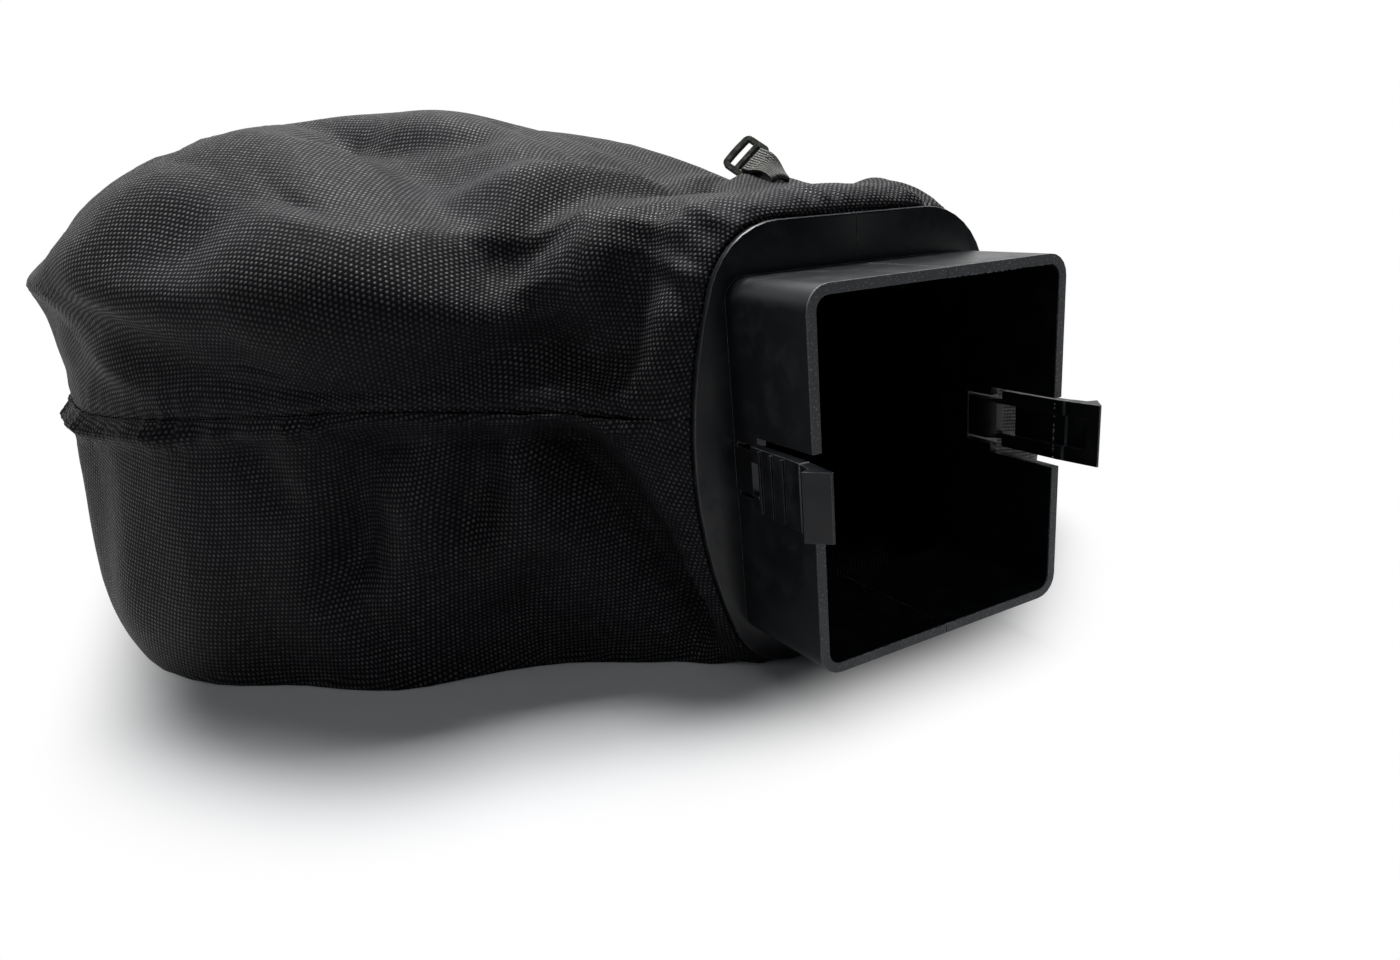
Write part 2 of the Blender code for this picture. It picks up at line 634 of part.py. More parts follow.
def panel_rows(upper):
    """Rows of points of a panel's outer face, from the clamp to the closed end, before it is folded."""
    shift = SEAM_GAP / 2 if upper else -SEAM_GAP / 2
    rows = []
    clamped = duct_outline(SLEEVE_HALF_WIDTH + NECK_OVERLAP, SLEEVE_HALF_HEIGHT + NECK_OVERLAP,
                           DUCT_CORNER + NECK_OVERLAP)
    for outline, y in ((clamped, CLOTH_FACE), (flange_outline(-NECK_OVERLAP), CLOTH_FACE),
                       (flange_outline(SEAT_GAP), CLOTH_FACE + CLOTH_THICK)):
        line = spread_along(panel_part(outline, upper), PANEL_COLUMNS)
        rows.append([Vector((x, y, AXIS_Z + z + shift)) for x, z in line])
    for step in range(1, PANEL_ROWS + 1):
        y = FLANGE_BACK + BAG_LENGTH * math.sin(math.pi / 2 * (step / PANEL_ROWS) ** ROW_CROWDING)
        rows.append([Vector((x, y, z + shift)) for x, z in section(upper, y)])
    return rows


def line_distance(place, line):
    """Distance from a place to a line of places."""
    nearest = math.inf
    for start, end in zip(line, line[1:]):
        along = end - start
        share = min(max((place - start).dot(along) / along.length_squared, 0.0), 1.0)
        nearest = min(nearest, (place - start - along * share).length)
    return nearest


def fold_height(place, folds):
    """How far the folds push the cloth out at a place; the neck and the seam stay where they are."""
    height = 0.0
    for fold in folds:
        spots = [Vector(spot) * MM + Vector((0, FLANGE_BACK, 0)) for spot in fold.places]
        share = line_distance(place, spots) / (fold.half_breadth * MM)
        height += fold.rise * MM * math.exp(-share * share)
    height *= ease((place.y - FLANGE_BACK) / FOLD_START)
    return height * ease(abs(place.z - seam_height(place.y)) / FOLD_SEAM_ROOM)


def fold_rows(rows, upper):
    """The panel's rows, pushed in and out along the cloth's own normal by its folds."""
    folds = UPPER_FOLDS if upper else LOWER_FOLDS
    turn = 1 if upper else -1
    folded = []
    for index, row in enumerate(rows):
        near, far = rows[max(index - 1, 0)], rows[min(index + 1, len(rows) - 1)]
        line = []
        for column, place in enumerate(row):
            across = row[min(column + 1, PANEL_COLUMNS)] - row[max(column - 1, 0)]
            outwards = across.cross(far[column] - near[column]).normalized() * turn
            moved = place + outwards * fold_height(place, folds)
            line.append(Vector((moved.x, moved.y, max(moved.z, 0.0))))
        folded.append(line)
    return folded


def build_panel(name, upper, parts, tools, material):
    """One cloth panel: an open skin with thickness, gathered into the clamp at the neck."""
    body = bmesh.new()
    grid = [[body.verts.new(place) for place in row]
            for row in fold_rows(panel_rows(upper), upper)]
    for near, far in zip(grid, grid[1:]):
        for column in range(PANEL_COLUMNS):
            corners = (near[column], near[column + 1], far[column + 1], far[column])
            body.faces.new(corners if upper else reversed(corners))
    panel = add_object(name, body, parts, material)
    thicken = panel.modifiers.new("cloth", "SOLIDIFY")
    thicken.thickness = CLOTH_THICK
    thicken.offset = -1.0
    for index, (x, z) in enumerate(screw_places()):
        if (AXIS_Z + z > SEAM_AT_NECK) == upper:
            room = rod(BOSS_RADIUS + SEAT_GAP, FLANGE_BACK, FRAME_FRONT, x, AXIS_Z + z)
            combine(panel, add_tool(f"{name} boss room {index}", room, tools), "DIFFERENCE")
    return panel


def height_over(x, y):
    """Height of the upper panel's outer face at a place in plan."""
    points = section(True, y)
    for (x0, z0), (x1, z1) in zip(points, points[1:]):
        if x0 <= x <= x1:
            return z0 + (z1 - z0) * (x - x0) / (x1 - x0) + SEAM_GAP / 2
    raise ValueError("the place lies beside the bag")


def lock_frame():
    """Directions of the ladder lock: along the tab, across it and out of its face."""
    along = Vector(LOCK_ALONG).normalized()
    across = Vector(LOCK_ACROSS)
    across = (across - along * across.dot(along)).normalized()
    return along, across, across.cross(along)


def lock_bar_place():
    """Middle of the bar that the webbing goes round."""
    y = FLANGE_BACK + LOCK_SET_BACK
    return Vector((LOCK_X, y, height_over(LOCK_X, y) + LOCK_LIFT))


def build_ladder_lock(parts, tools, material):
    """The strap slider: a flat plate with two slots, which leave three bars."""
    along, across, out = lock_frame()
    half_length = LOCK_BAR + LOCK_SLOT + LOCK_BAR / 2
    middle = half_length - LOCK_BAR / 2
    corner = arc(LOCK_WIDTH / 2 - LOCK_CORNER, half_length - LOCK_CORNER, LOCK_CORNER, 0, math.pi / 2,
                 LOCK_CORNER_STEPS)
    outline = [(x, middle + y) for x, y in four_quarters(corner)]
    plate = prism(outline, "Z", -LOCK_THICK / 2, LOCK_THICK / 2)
    lock = add_object("ladder_lock", plate, parts, material)
    place = Matrix((across, along, out)).transposed().to_4x4()
    place.translation = lock_bar_place()
    lock.matrix_world = place
    slot_reach = LOCK_WIDTH / 2 - LOCK_BAR
    for index in range(2):
        start = LOCK_BAR / 2 + index * (LOCK_BAR + LOCK_SLOT)
        slot = box((-slot_reach, start, -LOCK_THICK), (slot_reach, start + LOCK_SLOT, LOCK_THICK))
        cutter = add_tool(f"lock slot {index}", slot, tools)
        cutter.matrix_world = place
        combine(lock, cutter, "DIFFERENCE")
    return lock


def build_webbing(parts, material):
    """A doubled tab of webbing: it lies on the bag, twists as it rises and goes round the lock's bar."""
    along, across, out = lock_frame()
    bar = lock_bar_place()
    root_y = FLANGE_BACK + TAB_SET_BACK
    layer = WEBBING_THICK / 2 + SEAT_GAP / 2
    lift = 2 * WEBBING_THICK + SEAT_GAP
    root = Vector((TAB_X, root_y, height_over(TAB_X, root_y) + lift))
    knee_y = root_y + WEBBING_ROOT / 2
    knee = Vector((TAB_X, knee_y, height_over(TAB_X, knee_y) + WEBBING_ARCH * lift))
    round_bar = math.hypot(LOCK_BAR, LOCK_THICK) / 2 + SEAT_GAP / 2 + WEBBING_THICK / 2
    flat, up = Vector((1, 0, 0)), Vector((0, 0, 1))
    leg = []
    for step in range(WEBBING_STEPS + 1):
        share = step / WEBBING_STEPS
        middle = root * (1 - share) ** 2 + knee * 2 * share * (1 - share) + bar * share ** 2
        turned = flat.lerp(across, ease(share)).normalized()
        normal = up.lerp(out, ease(share))
        normal = (normal - turned * normal.dot(turned)).normalized()
        leg.append((middle, turned, normal, layer + (round_bar - layer) * ease(share)))
    rows = [(middle + normal * apart, turned) for middle, turned, normal, apart in leg]
    for step in range(1, WEBBING_STEPS):
        angle = math.pi * step / WEBBING_STEPS
        rows.append((bar + (along * math.sin(angle) + out * math.cos(angle)) * round_bar, across))
    rows += [(middle - normal * apart, turned) for middle, turned, normal, apart in reversed(leg)]
    body = bmesh.new()
    edges = [[body.verts.new(middle + turned * side * WEBBING_WIDTH / 2) for side in (-1, 1)]
             for middle, turned in rows]
    for (left, right), (next_left, next_right) in zip(edges, edges[1:]):
        body.faces.new((left, right, next_right, next_left))
    tab = add_object("webbing_tab", body, parts, material)
    thicken = tab.modifiers.new("webbing", "SOLIDIFY")
    thicken.thickness = WEBBING_THICK
    thicken.offset = 0.0
    return tab


def main():
    for old in list(bpy.data.objects):
        bpy.data.objects.remove(old, do_unlink=True)
    parts = make_collection("leaf_vacuum_bag")
    tools = make_collection("leaf_vacuum_bag_cutters")
    moulding = make_material("collar_moulding", (0.012, 0.013, 0.015), 0.42)
    cloth = make_material("nonwoven_cloth", (0.014, 0.013, 0.014), 0.6)
    steel = make_material("zinc_screw", (0.45, 0.44, 0.42), 0.4)
    strap = make_material("ribbed_webbing", (0.02, 0.02, 0.018), 0.7)
    buckle = make_material("lock_moulding", (0.06, 0.065, 0.055), 0.35)

    right = build_collar_half("collar_half_right", parts, tools, moulding)
    freeze(right)
    mirror_half(right, "collar_half_left", parts)
    build_frame(parts, tools, moulding)
    build_screws(parts, steel)
    build_panel("bag_upper_panel", True, parts, tools, cloth)
    build_panel("bag_lower_panel", False, parts, tools, cloth)
    build_ladder_lock(parts, tools, buckle)
    build_webbing(parts, strap)


main()
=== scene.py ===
"""Leaf vacuum collection bag: a moulded duct collar and the puffed cloth bag behind it.

Metres, +Z up. The bag lies on the ground at z = 0 and its mouth faces -Y.
"""

import json
import logging
import math
from dataclasses import dataclass, replace
from enum import Enum
from typing import Sequence

import bmesh
import bpy
import numpy as np
from mathutils import Matrix, Vector

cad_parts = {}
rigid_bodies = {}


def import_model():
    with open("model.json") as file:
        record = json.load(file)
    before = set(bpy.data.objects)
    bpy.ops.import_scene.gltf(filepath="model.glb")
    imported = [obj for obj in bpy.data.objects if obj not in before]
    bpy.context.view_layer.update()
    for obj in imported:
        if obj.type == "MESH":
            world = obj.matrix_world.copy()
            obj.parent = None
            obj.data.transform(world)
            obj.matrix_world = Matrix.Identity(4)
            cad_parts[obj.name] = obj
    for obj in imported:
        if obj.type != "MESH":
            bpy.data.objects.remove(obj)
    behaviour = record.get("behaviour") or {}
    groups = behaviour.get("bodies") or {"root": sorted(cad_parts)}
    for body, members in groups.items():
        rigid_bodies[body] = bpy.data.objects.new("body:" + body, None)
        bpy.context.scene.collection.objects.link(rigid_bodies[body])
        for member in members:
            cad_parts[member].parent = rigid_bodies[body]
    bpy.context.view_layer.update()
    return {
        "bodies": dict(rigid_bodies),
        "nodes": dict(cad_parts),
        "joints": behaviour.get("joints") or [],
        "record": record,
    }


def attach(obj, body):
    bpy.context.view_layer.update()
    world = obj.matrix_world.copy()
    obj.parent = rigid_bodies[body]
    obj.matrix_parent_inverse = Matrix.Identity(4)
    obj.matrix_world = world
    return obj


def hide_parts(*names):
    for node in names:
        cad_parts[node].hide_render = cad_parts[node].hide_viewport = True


log = logging.getLogger("leaf_vacuum_bag")

MM = 0.001

# Places that the cloth, the collar and the strap share
AXIS_Z = 71.0 * MM
MOUTH_Y = -294.7 * MM
FLANGE_BACK = -253.3 * MM
FLANGE_WIDTH = 123.8 * MM
FLANGE_HEIGHT = 142.0 * MM
TAB_X = 3.0 * MM
TAB_Y = FLANGE_BACK + 48.0 * MM

# What several nodes are set to
SMOOTH = {"interpolation_type": "SMOOTHSTEP"}
COLOURS = {"data_type": "RGBA"}

# What the cloth simulation is set to: a light cloth that bends far more easily than it stretches
CLOTH_SETTINGS = {"quality": 6, "mass": 0.25, "tension_stiffness": 25, "compression_stiffness": 25,
                  "shear_stiffness": 10, "bending_stiffness": 1.2, "pin_stiffness": 1.0}


def linear(hex_colour: str) -> tuple[float, float, float, float]:
    """Turns an sRGB hex colour into the linear colour that shaders take.

    Args:
        hex_colour: six hex digits, such as "1d1c1f".

    Returns:
        Red, green, blue and alpha, linear.
    """
    channels = [int(hex_colour[start:start + 2], 16) / 255 for start in (0, 2, 4)]
    lit = [c / 12.92 if c <= 0.04045 else ((c + 0.055) / 1.055) ** 2.4 for c in channels]
    return (lit[0], lit[1], lit[2], 1.0)


def smooth(value: np.ndarray | float) -> np.ndarray | float:
    """Smooth step from 0 to 1, for a number or an array."""
    value = np.clip(value, 0.0, 1.0)
    return value * value * (3 - 2 * value)


class Nodes:
    """The nodes of a material or of the world, added one at a time."""

    def __init__(self, tree: bpy.types.NodeTree) -> None:
        """Empties a node tree and adds the coordinates.

        Args:
            tree: the tree to fill.
        """
        tree.nodes.clear()
        self.tree = tree
        self.place = self.add("TexCoord", {})
        self.here = self.place.outputs["Object"]

    def add(self, kind: str, settings: dict[str, object] | str, *values: object,
            **named: object) -> bpy.types.Node:
        """Adds a node with its settings and links.

        Args:
            kind: the node's type, without its "ShaderNode".
            settings: the node's own properties by name, or just its operation.
            values: a value, a socket or a node for each of its live inputs in turn.
            named: the same for an input by its name, with "_" for a space.

        Returns:
            The new node; as a value it stands for its first live output.
        """
        node = self.tree.nodes.new(f"ShaderNode{kind}")
        settings = {"operation": settings} if isinstance(settings, str) else settings
        for key, value in settings.items():
            setattr(node, key, value)
        live = [socket for socket in node.inputs if socket.enabled]
        by_name = [(node.inputs[name.replace("_", " ")], value) for name, value in named.items()]
        for socket, value in [*zip(live, values), *by_name]:
            if isinstance(value, bpy.types.Node):
                value = next(output for output in value.outputs if output.enabled)
            if isinstance(value, bpy.types.NodeSocket):
                self.tree.links.new(value, socket)
            else:
                socket.default_value = value
        return node


class Surface(Nodes):
    """A material that is closed with a Principled shader and a bump."""

    def __init__(self, name: str) -> None:
        """Starts the material.

        Args:
            name: what the material is and how its surface was made.
        """
        self.material = bpy.data.materials.new(name)
        self.material.use_nodes = True
        super().__init__(self.material.node_tree)

    def close(self, colour: bpy.types.Node, roughness: bpy.types.Node, height: bpy.types.Node,
              depth: float, **fixed: float) -> bpy.types.Material:
        """Closes the material.

        Args:
            colour: the base colour.
            roughness: the roughness.
            height: the relief, 0 to 1.
            depth: how deep the relief is, in metres.
            fixed: values for other inputs of the shader, the same all over.

        Returns:
            The finished material.
        """
        bump = self.add("Bump", {}, Distance=depth, Height=height)
        shader = self.add("BsdfPrincipled", {}, colour, Roughness=roughness, Normal=bump, **fixed)
        self.add("OutputMaterial", {}, shader)
        return self.material


@dataclass(frozen=True)
class EmbossedNonwoven:
    """Spunbond polypropylene, bonded by a heated roll: fused oval dots stand in staggered rows.

    The fibres between the dots scatter light softly. The fused dots are glossier, and their pale
    colour is a painted glint that stands in for their shine. The dots stand 1.9 mm apart in rows
    1.2 mm apart, and each is over half a millimetre across.
    """

    ground: str = "0d0e13"
    worn_ground: str = "1c1c22"
    # The dots' pale colour is a painted glint, a painted highlight in place of their shine
    dot: str = "8f8b8a"
    pitch: float = 1.9 * MM
    row_pitch: float = 1.18 * MM
    dot_half: tuple[float, float, float] = (0.3, 0.39, 1.0)
    relief: float = 0.3 * MM

    def material(self) -> bpy.types.Material:
        """The cloth's material; it reads a UV map in metres."""
        nodes = Surface("spunbond_nonwoven_embossed")
        spot = nodes.add("SeparateXYZ", {}, nodes.place.outputs["UV"])
        along = nodes.add("Math", "DIVIDE", spot.outputs["Y"], self.row_pitch)
        odd_row = nodes.add("Math", "MODULO", nodes.add("Math", "FLOOR", along), 2.0)
        across = nodes.add("Math", "DIVIDE", spot.outputs["X"], self.pitch)
        staggered = nodes.add("Math", "MULTIPLY_ADD", odd_row, 0.5, across)
        cell = nodes.add("VectorMath", "FRACTION", nodes.add("CombineXYZ", {}, staggered, along))
        from_middle = nodes.add("VectorMath", "SUBTRACT", cell, (0.5, 0.5, 0.0))
        reach = nodes.add("VectorMath", "DIVIDE", from_middle, self.dot_half)
        dot = nodes.add("MapRange", SMOOTH, nodes.add("VectorMath", "LENGTH", reach), 1.15, 0.45)
        fibres = nodes.add("TexNoise", {}, nodes.here, 1 / (0.35 * MM), 2.0, 0.7)
        patches = nodes.add("TexNoise", {}, nodes.here, 1 / (38.0 * MM), 2.0)
        worn = nodes.add("MapRange", SMOOTH, patches, 0.38, 0.68)
        ground = nodes.add("Mix", COLOURS, worn, linear(self.ground), linear(self.worn_ground))
        uneven = nodes.add("TexNoise", {}, nodes.here, 1 / (2.6 * MM), 2.0)
        # The dots are painted pale as a painted glint, stronger on some dots than on others
        painted_glint_strength = nodes.add("MapRange", SMOOTH, uneven, 0.35, 0.75, 0.35, 1.0)
        painted_glint = nodes.add("Math", "MULTIPLY", dot, painted_glint_strength)
        colour = nodes.add("Mix", COLOURS, painted_glint, ground, linear(self.dot))
        matt = nodes.add("MapRange", {}, fibres, 0.3, 0.7, 0.62, 0.78)
        rough = nodes.add("Math", "MULTIPLY_ADD", dot, -0.36, matt)
        height = nodes.add("Math", "MULTIPLY_ADD", fibres, 0.18, dot)
        return nodes.close(colour, rough, height, self.relief, Specular_IOR_Level=0.14)


@dataclass(frozen=True)
class BlackMoulding:
    """Injection-moulded black polypropylene: satin walls with a dusty bloom and fine streaks.

    The front rim was never polished, so it is sandy and pale, with bright specks.
    """

    wall: str = "14161a"
    dusty: str = "24262b"
    rim: str = "77787c"
    speck: str = "d4d6dc"
    rim_depth: float = 0.5 * MM

    def material(self) -> bpy.types.Material:
        """The walls' material, with the rim's grain where the duct ends."""
        nodes = Surface("moulded_polypropylene_satin")
        spot = nodes.add("SeparateXYZ", {}, nodes.here)
        rim = nodes.add("Math", "COMPARE", spot.outputs["Y"], MOUTH_Y, self.rim_depth)
        bloom = nodes.add("TexNoise", {}, nodes.here, 1 / (9.0 * MM), 6.0, 0.65)
        dust = nodes.add("MapRange", SMOOTH, bloom, 0.45, 0.72)
        drawn = nodes.add("VectorMath", "MULTIPLY", nodes.here, (1.0, 0.04, 1.0))
        streaks = nodes.add("TexNoise", {}, drawn, 1 / (1.8 * MM), 2.0, 0.5)
        streak = nodes.add("MapRange", SMOOTH, streaks, 0.6, 0.8, 0.0, 0.5)
        pale = nodes.add("Math", "MAXIMUM", dust, streak)
        sand = nodes.add("TexNoise", {}, nodes.here, 1 / (0.42 * MM), 3.0, 0.7)
        grit = nodes.add("TexNoise", {}, nodes.here, 1 / (0.7 * MM), 2.0, 0.6)
        speck = nodes.add("MapRange", SMOOTH, grit, 0.56, 0.72)
        walls = nodes.add("Mix", COLOURS, pale, linear(self.wall), linear(self.dusty))
        face = nodes.add("Mix", COLOURS, speck, linear(self.rim), linear(self.speck))
        colour = nodes.add("Mix", COLOURS, rim, walls, face)
        satin = nodes.add("MapRange", {}, dust, 0.0, 1.0, 0.36, 0.5)
        rough = nodes.add("Math", "MULTIPLY_ADD", rim, 0.12, satin)
        depth = nodes.add("MapRange", {}, rim, 0.0, 1.0, 0.15, 0.8)
        height = nodes.add("Math", "MULTIPLY", sand, depth)
        return nodes.close(colour, rough, height, 0.12 * MM, Specular_IOR_Level=0.3)


@dataclass(frozen=True)
class CloudedFinish:
    """A surface of two shades that drift into each other, over a fine grain."""

    name: str
    shade: str
    cloud: str
    cloud_size: float
    cloud_reach: tuple[float, float]
    rough: tuple[float, float]
    relief: float
    grain_size: float | None = None
    detail: float = 2.0
    harshness: float = 0.5
    metallic: float = 0.0

    def material(self) -> bpy.types.Material:
        """The finish's material; without a grain of its own the clouds are its relief."""
        nodes = Surface(self.name)
        noise = nodes.add("TexNoise", {}, nodes.here, 1 / self.cloud_size, self.detail,
                          self.harshness)
        cloud = nodes.add("MapRange", SMOOTH, noise, *self.cloud_reach)
        colour = nodes.add("Mix", COLOURS, cloud, linear(self.shade), linear(self.cloud))
        rough = nodes.add("MapRange", {}, cloud, 0.0, 1.0, *self.rough)
        grain = cloud
        if self.grain_size is not None:
            grain = nodes.add("TexNoise", {}, nodes.here, 1 / self.grain_size)
        return nodes.close(colour, rough, grain, self.relief, Metallic=self.metallic)


# The rounded edges of the collar's moulding: smoother than its walls, and painted pale as a painted
# highlight along them
EDGE_PAINTED_HIGHLIGHT = CloudedFinish("moulded_polypropylene_edge", "a3a5ab", "eceef1", 1.6 * MM, (0.42, 0.72),
                          (0.32, 0.46), 0.04 * MM, 0.5 * MM, detail=4.0, harshness=0.7)
# Zinc-plated steel of the screws: a dull silver with a faint cloud in its shine
ZINC_PLATE = CloudedFinish("zinc_plated_steel", "b4b2ac", "97958f", 1.2 * MM, (0.4, 0.65),
                           (0.3, 0.45), 0.01 * MM, 0.3 * MM, metallic=1.0)
# Injection-moulded acetal of the strap slider: grey-green, smooth, with a soft shine
LOCK_MOULDING = CloudedFinish("moulded_acetal_smooth", "42453e", "5c5f56", 2.0 * MM, (0.4, 0.7),
                              (0.16, 0.3), 0.02 * MM, 0.6 * MM, detail=4.0)
# Spun polyester thread: dull; its lighter clouds, half a millimetre apart, are painted highlights
# on its twisted strands
SEAM_THREAD = CloudedFinish("polyester_thread_1b1a1d", "1b1a1d", "3c3a3f", 0.5 * MM, (0.35, 0.65),
                            (0.6, 0.75), 0.08 * MM)
TACK_THREAD = replace(SEAM_THREAD, name="polyester_thread_8d8b7c", shade="8d8b7c", cloud="c9c6b4")


@dataclass(frozen=True)
class RibbedWebbing:
    """Woven polypropylene webbing: ribs of short warp floats in rows. Their tops are painted
    lighter as a painted highlight, and the grooves between them darker as painted shade.

    The real ribs are about 0.5 mm apart; they are drawn at twice that so that they show.
    """

    # The grooves' colour is painted shade, and the ribs' colour is a painted highlight
    valley_painted_shade: str = "0e0e0b"
    rib_and_painted_highlight: str = "45463d"
    rib_pitch: float = 1.0 * MM
    float_pitch: float = 1.3 * MM

    def material(self) -> bpy.types.Material:
        """The webbing's material; it reads a UV map in metres."""
        nodes = Surface("ribbed_webbing_woven")
        spot = nodes.add("SeparateXYZ", {}, nodes.place.outputs["UV"])
        across = nodes.add("Math", "MULTIPLY", spot.outputs["X"], math.pi / self.rib_pitch)
        along = nodes.add("Math", "MULTIPLY", spot.outputs["Y"], math.pi / self.float_pitch)
        rib_and_painted_highlight = nodes.add("Math", "ABSOLUTE", nodes.add("Math", "SINE", across))
        lean = nodes.add("Math", "ADD", along, nodes.add("Math", "MULTIPLY", across, 0.5))
        bead = nodes.add("Math", "ABSOLUTE", nodes.add("Math", "SINE", lean))
        bulge = nodes.add("MapRange", SMOOTH, bead, 0.0, 0.8, 0.55, 1.0)
        weave = nodes.add("Math", "MULTIPLY", rib_and_painted_highlight, bulge)
        # The ribs and floats are painted light and the grooves dark: painted highlight and painted
        # shade
        colour = nodes.add("Mix", COLOURS, weave, linear(self.valley_painted_shade), linear(self.rib_and_painted_highlight))
        fuzz = nodes.add("TexNoise", {}, nodes.here, 1 / (0.3 * MM))
        rough = nodes.add("MapRange", {}, fuzz, 0.3, 0.7, 0.45, 0.65)
        return nodes.close(colour, rough, weave, 0.3 * MM, Sheen_Weight=0.15)


class Side(Enum):
    """Which of the two sewn cloth panels."""

    UPPER = "upper"
    LOWER = "lower"


class FoldShape(Enum):
    """How a fold rises from the cloth round it."""

    SOFT = "soft"
    SHARP = "sharp"


@dataclass(frozen=True)
class Fold:
    """A fold that runs through a few places; all its sizes are in mm."""

    places: tuple[tuple[float, float, float], ...]
    breadth: float
    rise: float
    shape: FoldShape = FoldShape.SOFT
    blunt: float = 0.06
    fall: float = 1.5

    def height(self, points: np.ndarray) -> np.ndarray:
        """How far the fold lifts the cloth.

        Args:
            points: places as x, distance behind the flange and height, in metres.

        Returns:
            The lift at each place, in metres.
        """
        spots = [np.array(spot) * MM for spot in self.places]
        nearest = np.full(points.shape[:-1], np.inf)
        for start, end in zip(spots, spots[1:]):
            along = end - start
            share = np.clip(((points - start) @ along) / (along @ along), 0.0, 1.0)
            gap = np.linalg.norm(points - start - share[..., None] * along, axis=-1)
            nearest = np.minimum(nearest, gap)
        share = nearest / (self.breadth * MM)
        if self.shape is FoldShape.SOFT:
            return self.rise * MM * np.exp(-share * share)
        return self.rise * MM * np.exp(-np.sqrt(share * share + self.blunt) * self.fall)


# The first four of each panel are the solid's folds, the lower creases deeper than there; the
# others are smaller folds and sharp creases that lie in them and near them
UPPER_FOLDS = (
    Fold(((-122, 140, 200), (-107, 98, 184), (-103, 69, 165), (-99, 45, 142), (-95, 34, 98)),
         20, -14),
    Fold(((-95, 50, 142), (-73, 54, 157), (-43, 51, 157), (-3, 57, 157), (25, 60, 148)), 12, -5),
    Fold(((-158, 72, 146), (-140, 58, 118)), 26, 7),
    Fold(((-90, 72, 172), (-60, 88, 180)), 20, 3),
    Fold(((-90, 55, 150), (-73, 54, 157), (-43, 51, 157), (-12, 55, 158)),
         5, -4.5, FoldShape.SHARP),
    Fold(((-96, 74, 168), (-73, 66, 166), (-43, 63, 166), (-8, 70, 166)), 8, 3),
    Fold(((-52, 22, 146), (-66, 21, 125), (-77, 20, 97)), 8, -5),
    Fold(((-74, 36, 146), (-82, 32, 124)), 9, 3.5),
    Fold(((-90, 38, 124), (-92, 32, 100)), 7, -5),
    Fold(((-96, 50, 132), (-112, 62, 122), (-124, 58, 104)), 5, -3, FoldShape.SHARP),
    Fold(((-160, 110, 188), (-150, 86, 168), (-128, 66, 146)), 6, -3, FoldShape.SHARP),
    Fold(((-176, 96, 150), (-168, 80, 122), (-150, 64, 104)), 9, -3.5),
    Fold(((-130, 170, 205), (-112, 130, 196), (-84, 108, 186)), 8, -4),
    Fold(((-64, 130, 190), (-52, 92, 178), (-30, 66, 166)), 9, -3),
    Fold(((12, 26, 146), (36, 24, 142)), 15, 4.5),
    Fold(((20, 120, 170), (24, 84, 160), (14, 62, 154)), 9, -3.5),
    Fold(((60, 110, 150), (52, 74, 146), (40, 40, 144)), 8, -3.5),
)
LOWER_FOLDS = (
    Fold(((-95, 32, 90), (-83, 23, 68), (-75, 15, 47), (-58, 8, 15)), 11, -15),
    Fold(((-136, 53, 92), (-150, 60, 70), (-156, 64, 45)), 11, -11),
    Fold(((-114, 41, 91), (-114, 41, 74), (-121, 44, 59)), 9, -10),
    Fold(((-134, 50, 62), (-112, 38, 40)), 16, 6),
    Fold(((-92, 34, 92), (-90, 27, 70), (-82, 19, 48), (-66, 10, 18)), 4.5, -5, FoldShape.SHARP),
    Fold(((-104, 38, 70), (-98, 32, 48)), 9, 5),
    Fold(((-80, 24, 84), (-70, 14, 62), (-62, 8, 36)), 7, 4),
    Fold(((-136, 54, 92), (-146, 58, 76), (-158, 66, 50), (-166, 72, 30)),
         4.5, -4, FoldShape.SHARP),
    Fold(((-114, 42, 92), (-112, 40, 78), (-118, 43, 62), (-128, 48, 38)),
         4, -3.5, FoldShape.SHARP),
    Fold(((-104, 38, 88), (-102, 34, 72)), 6, 3),
    Fold(((-150, 60, 56), (-160, 68, 36), (-150, 62, 20)), 8, -5),
    Fold(((-178, 80, 92), (-172, 74, 70)), 7, -4),
    Fold(((-100, 34, 40), (-112, 40, 22)), 8, -4),
)


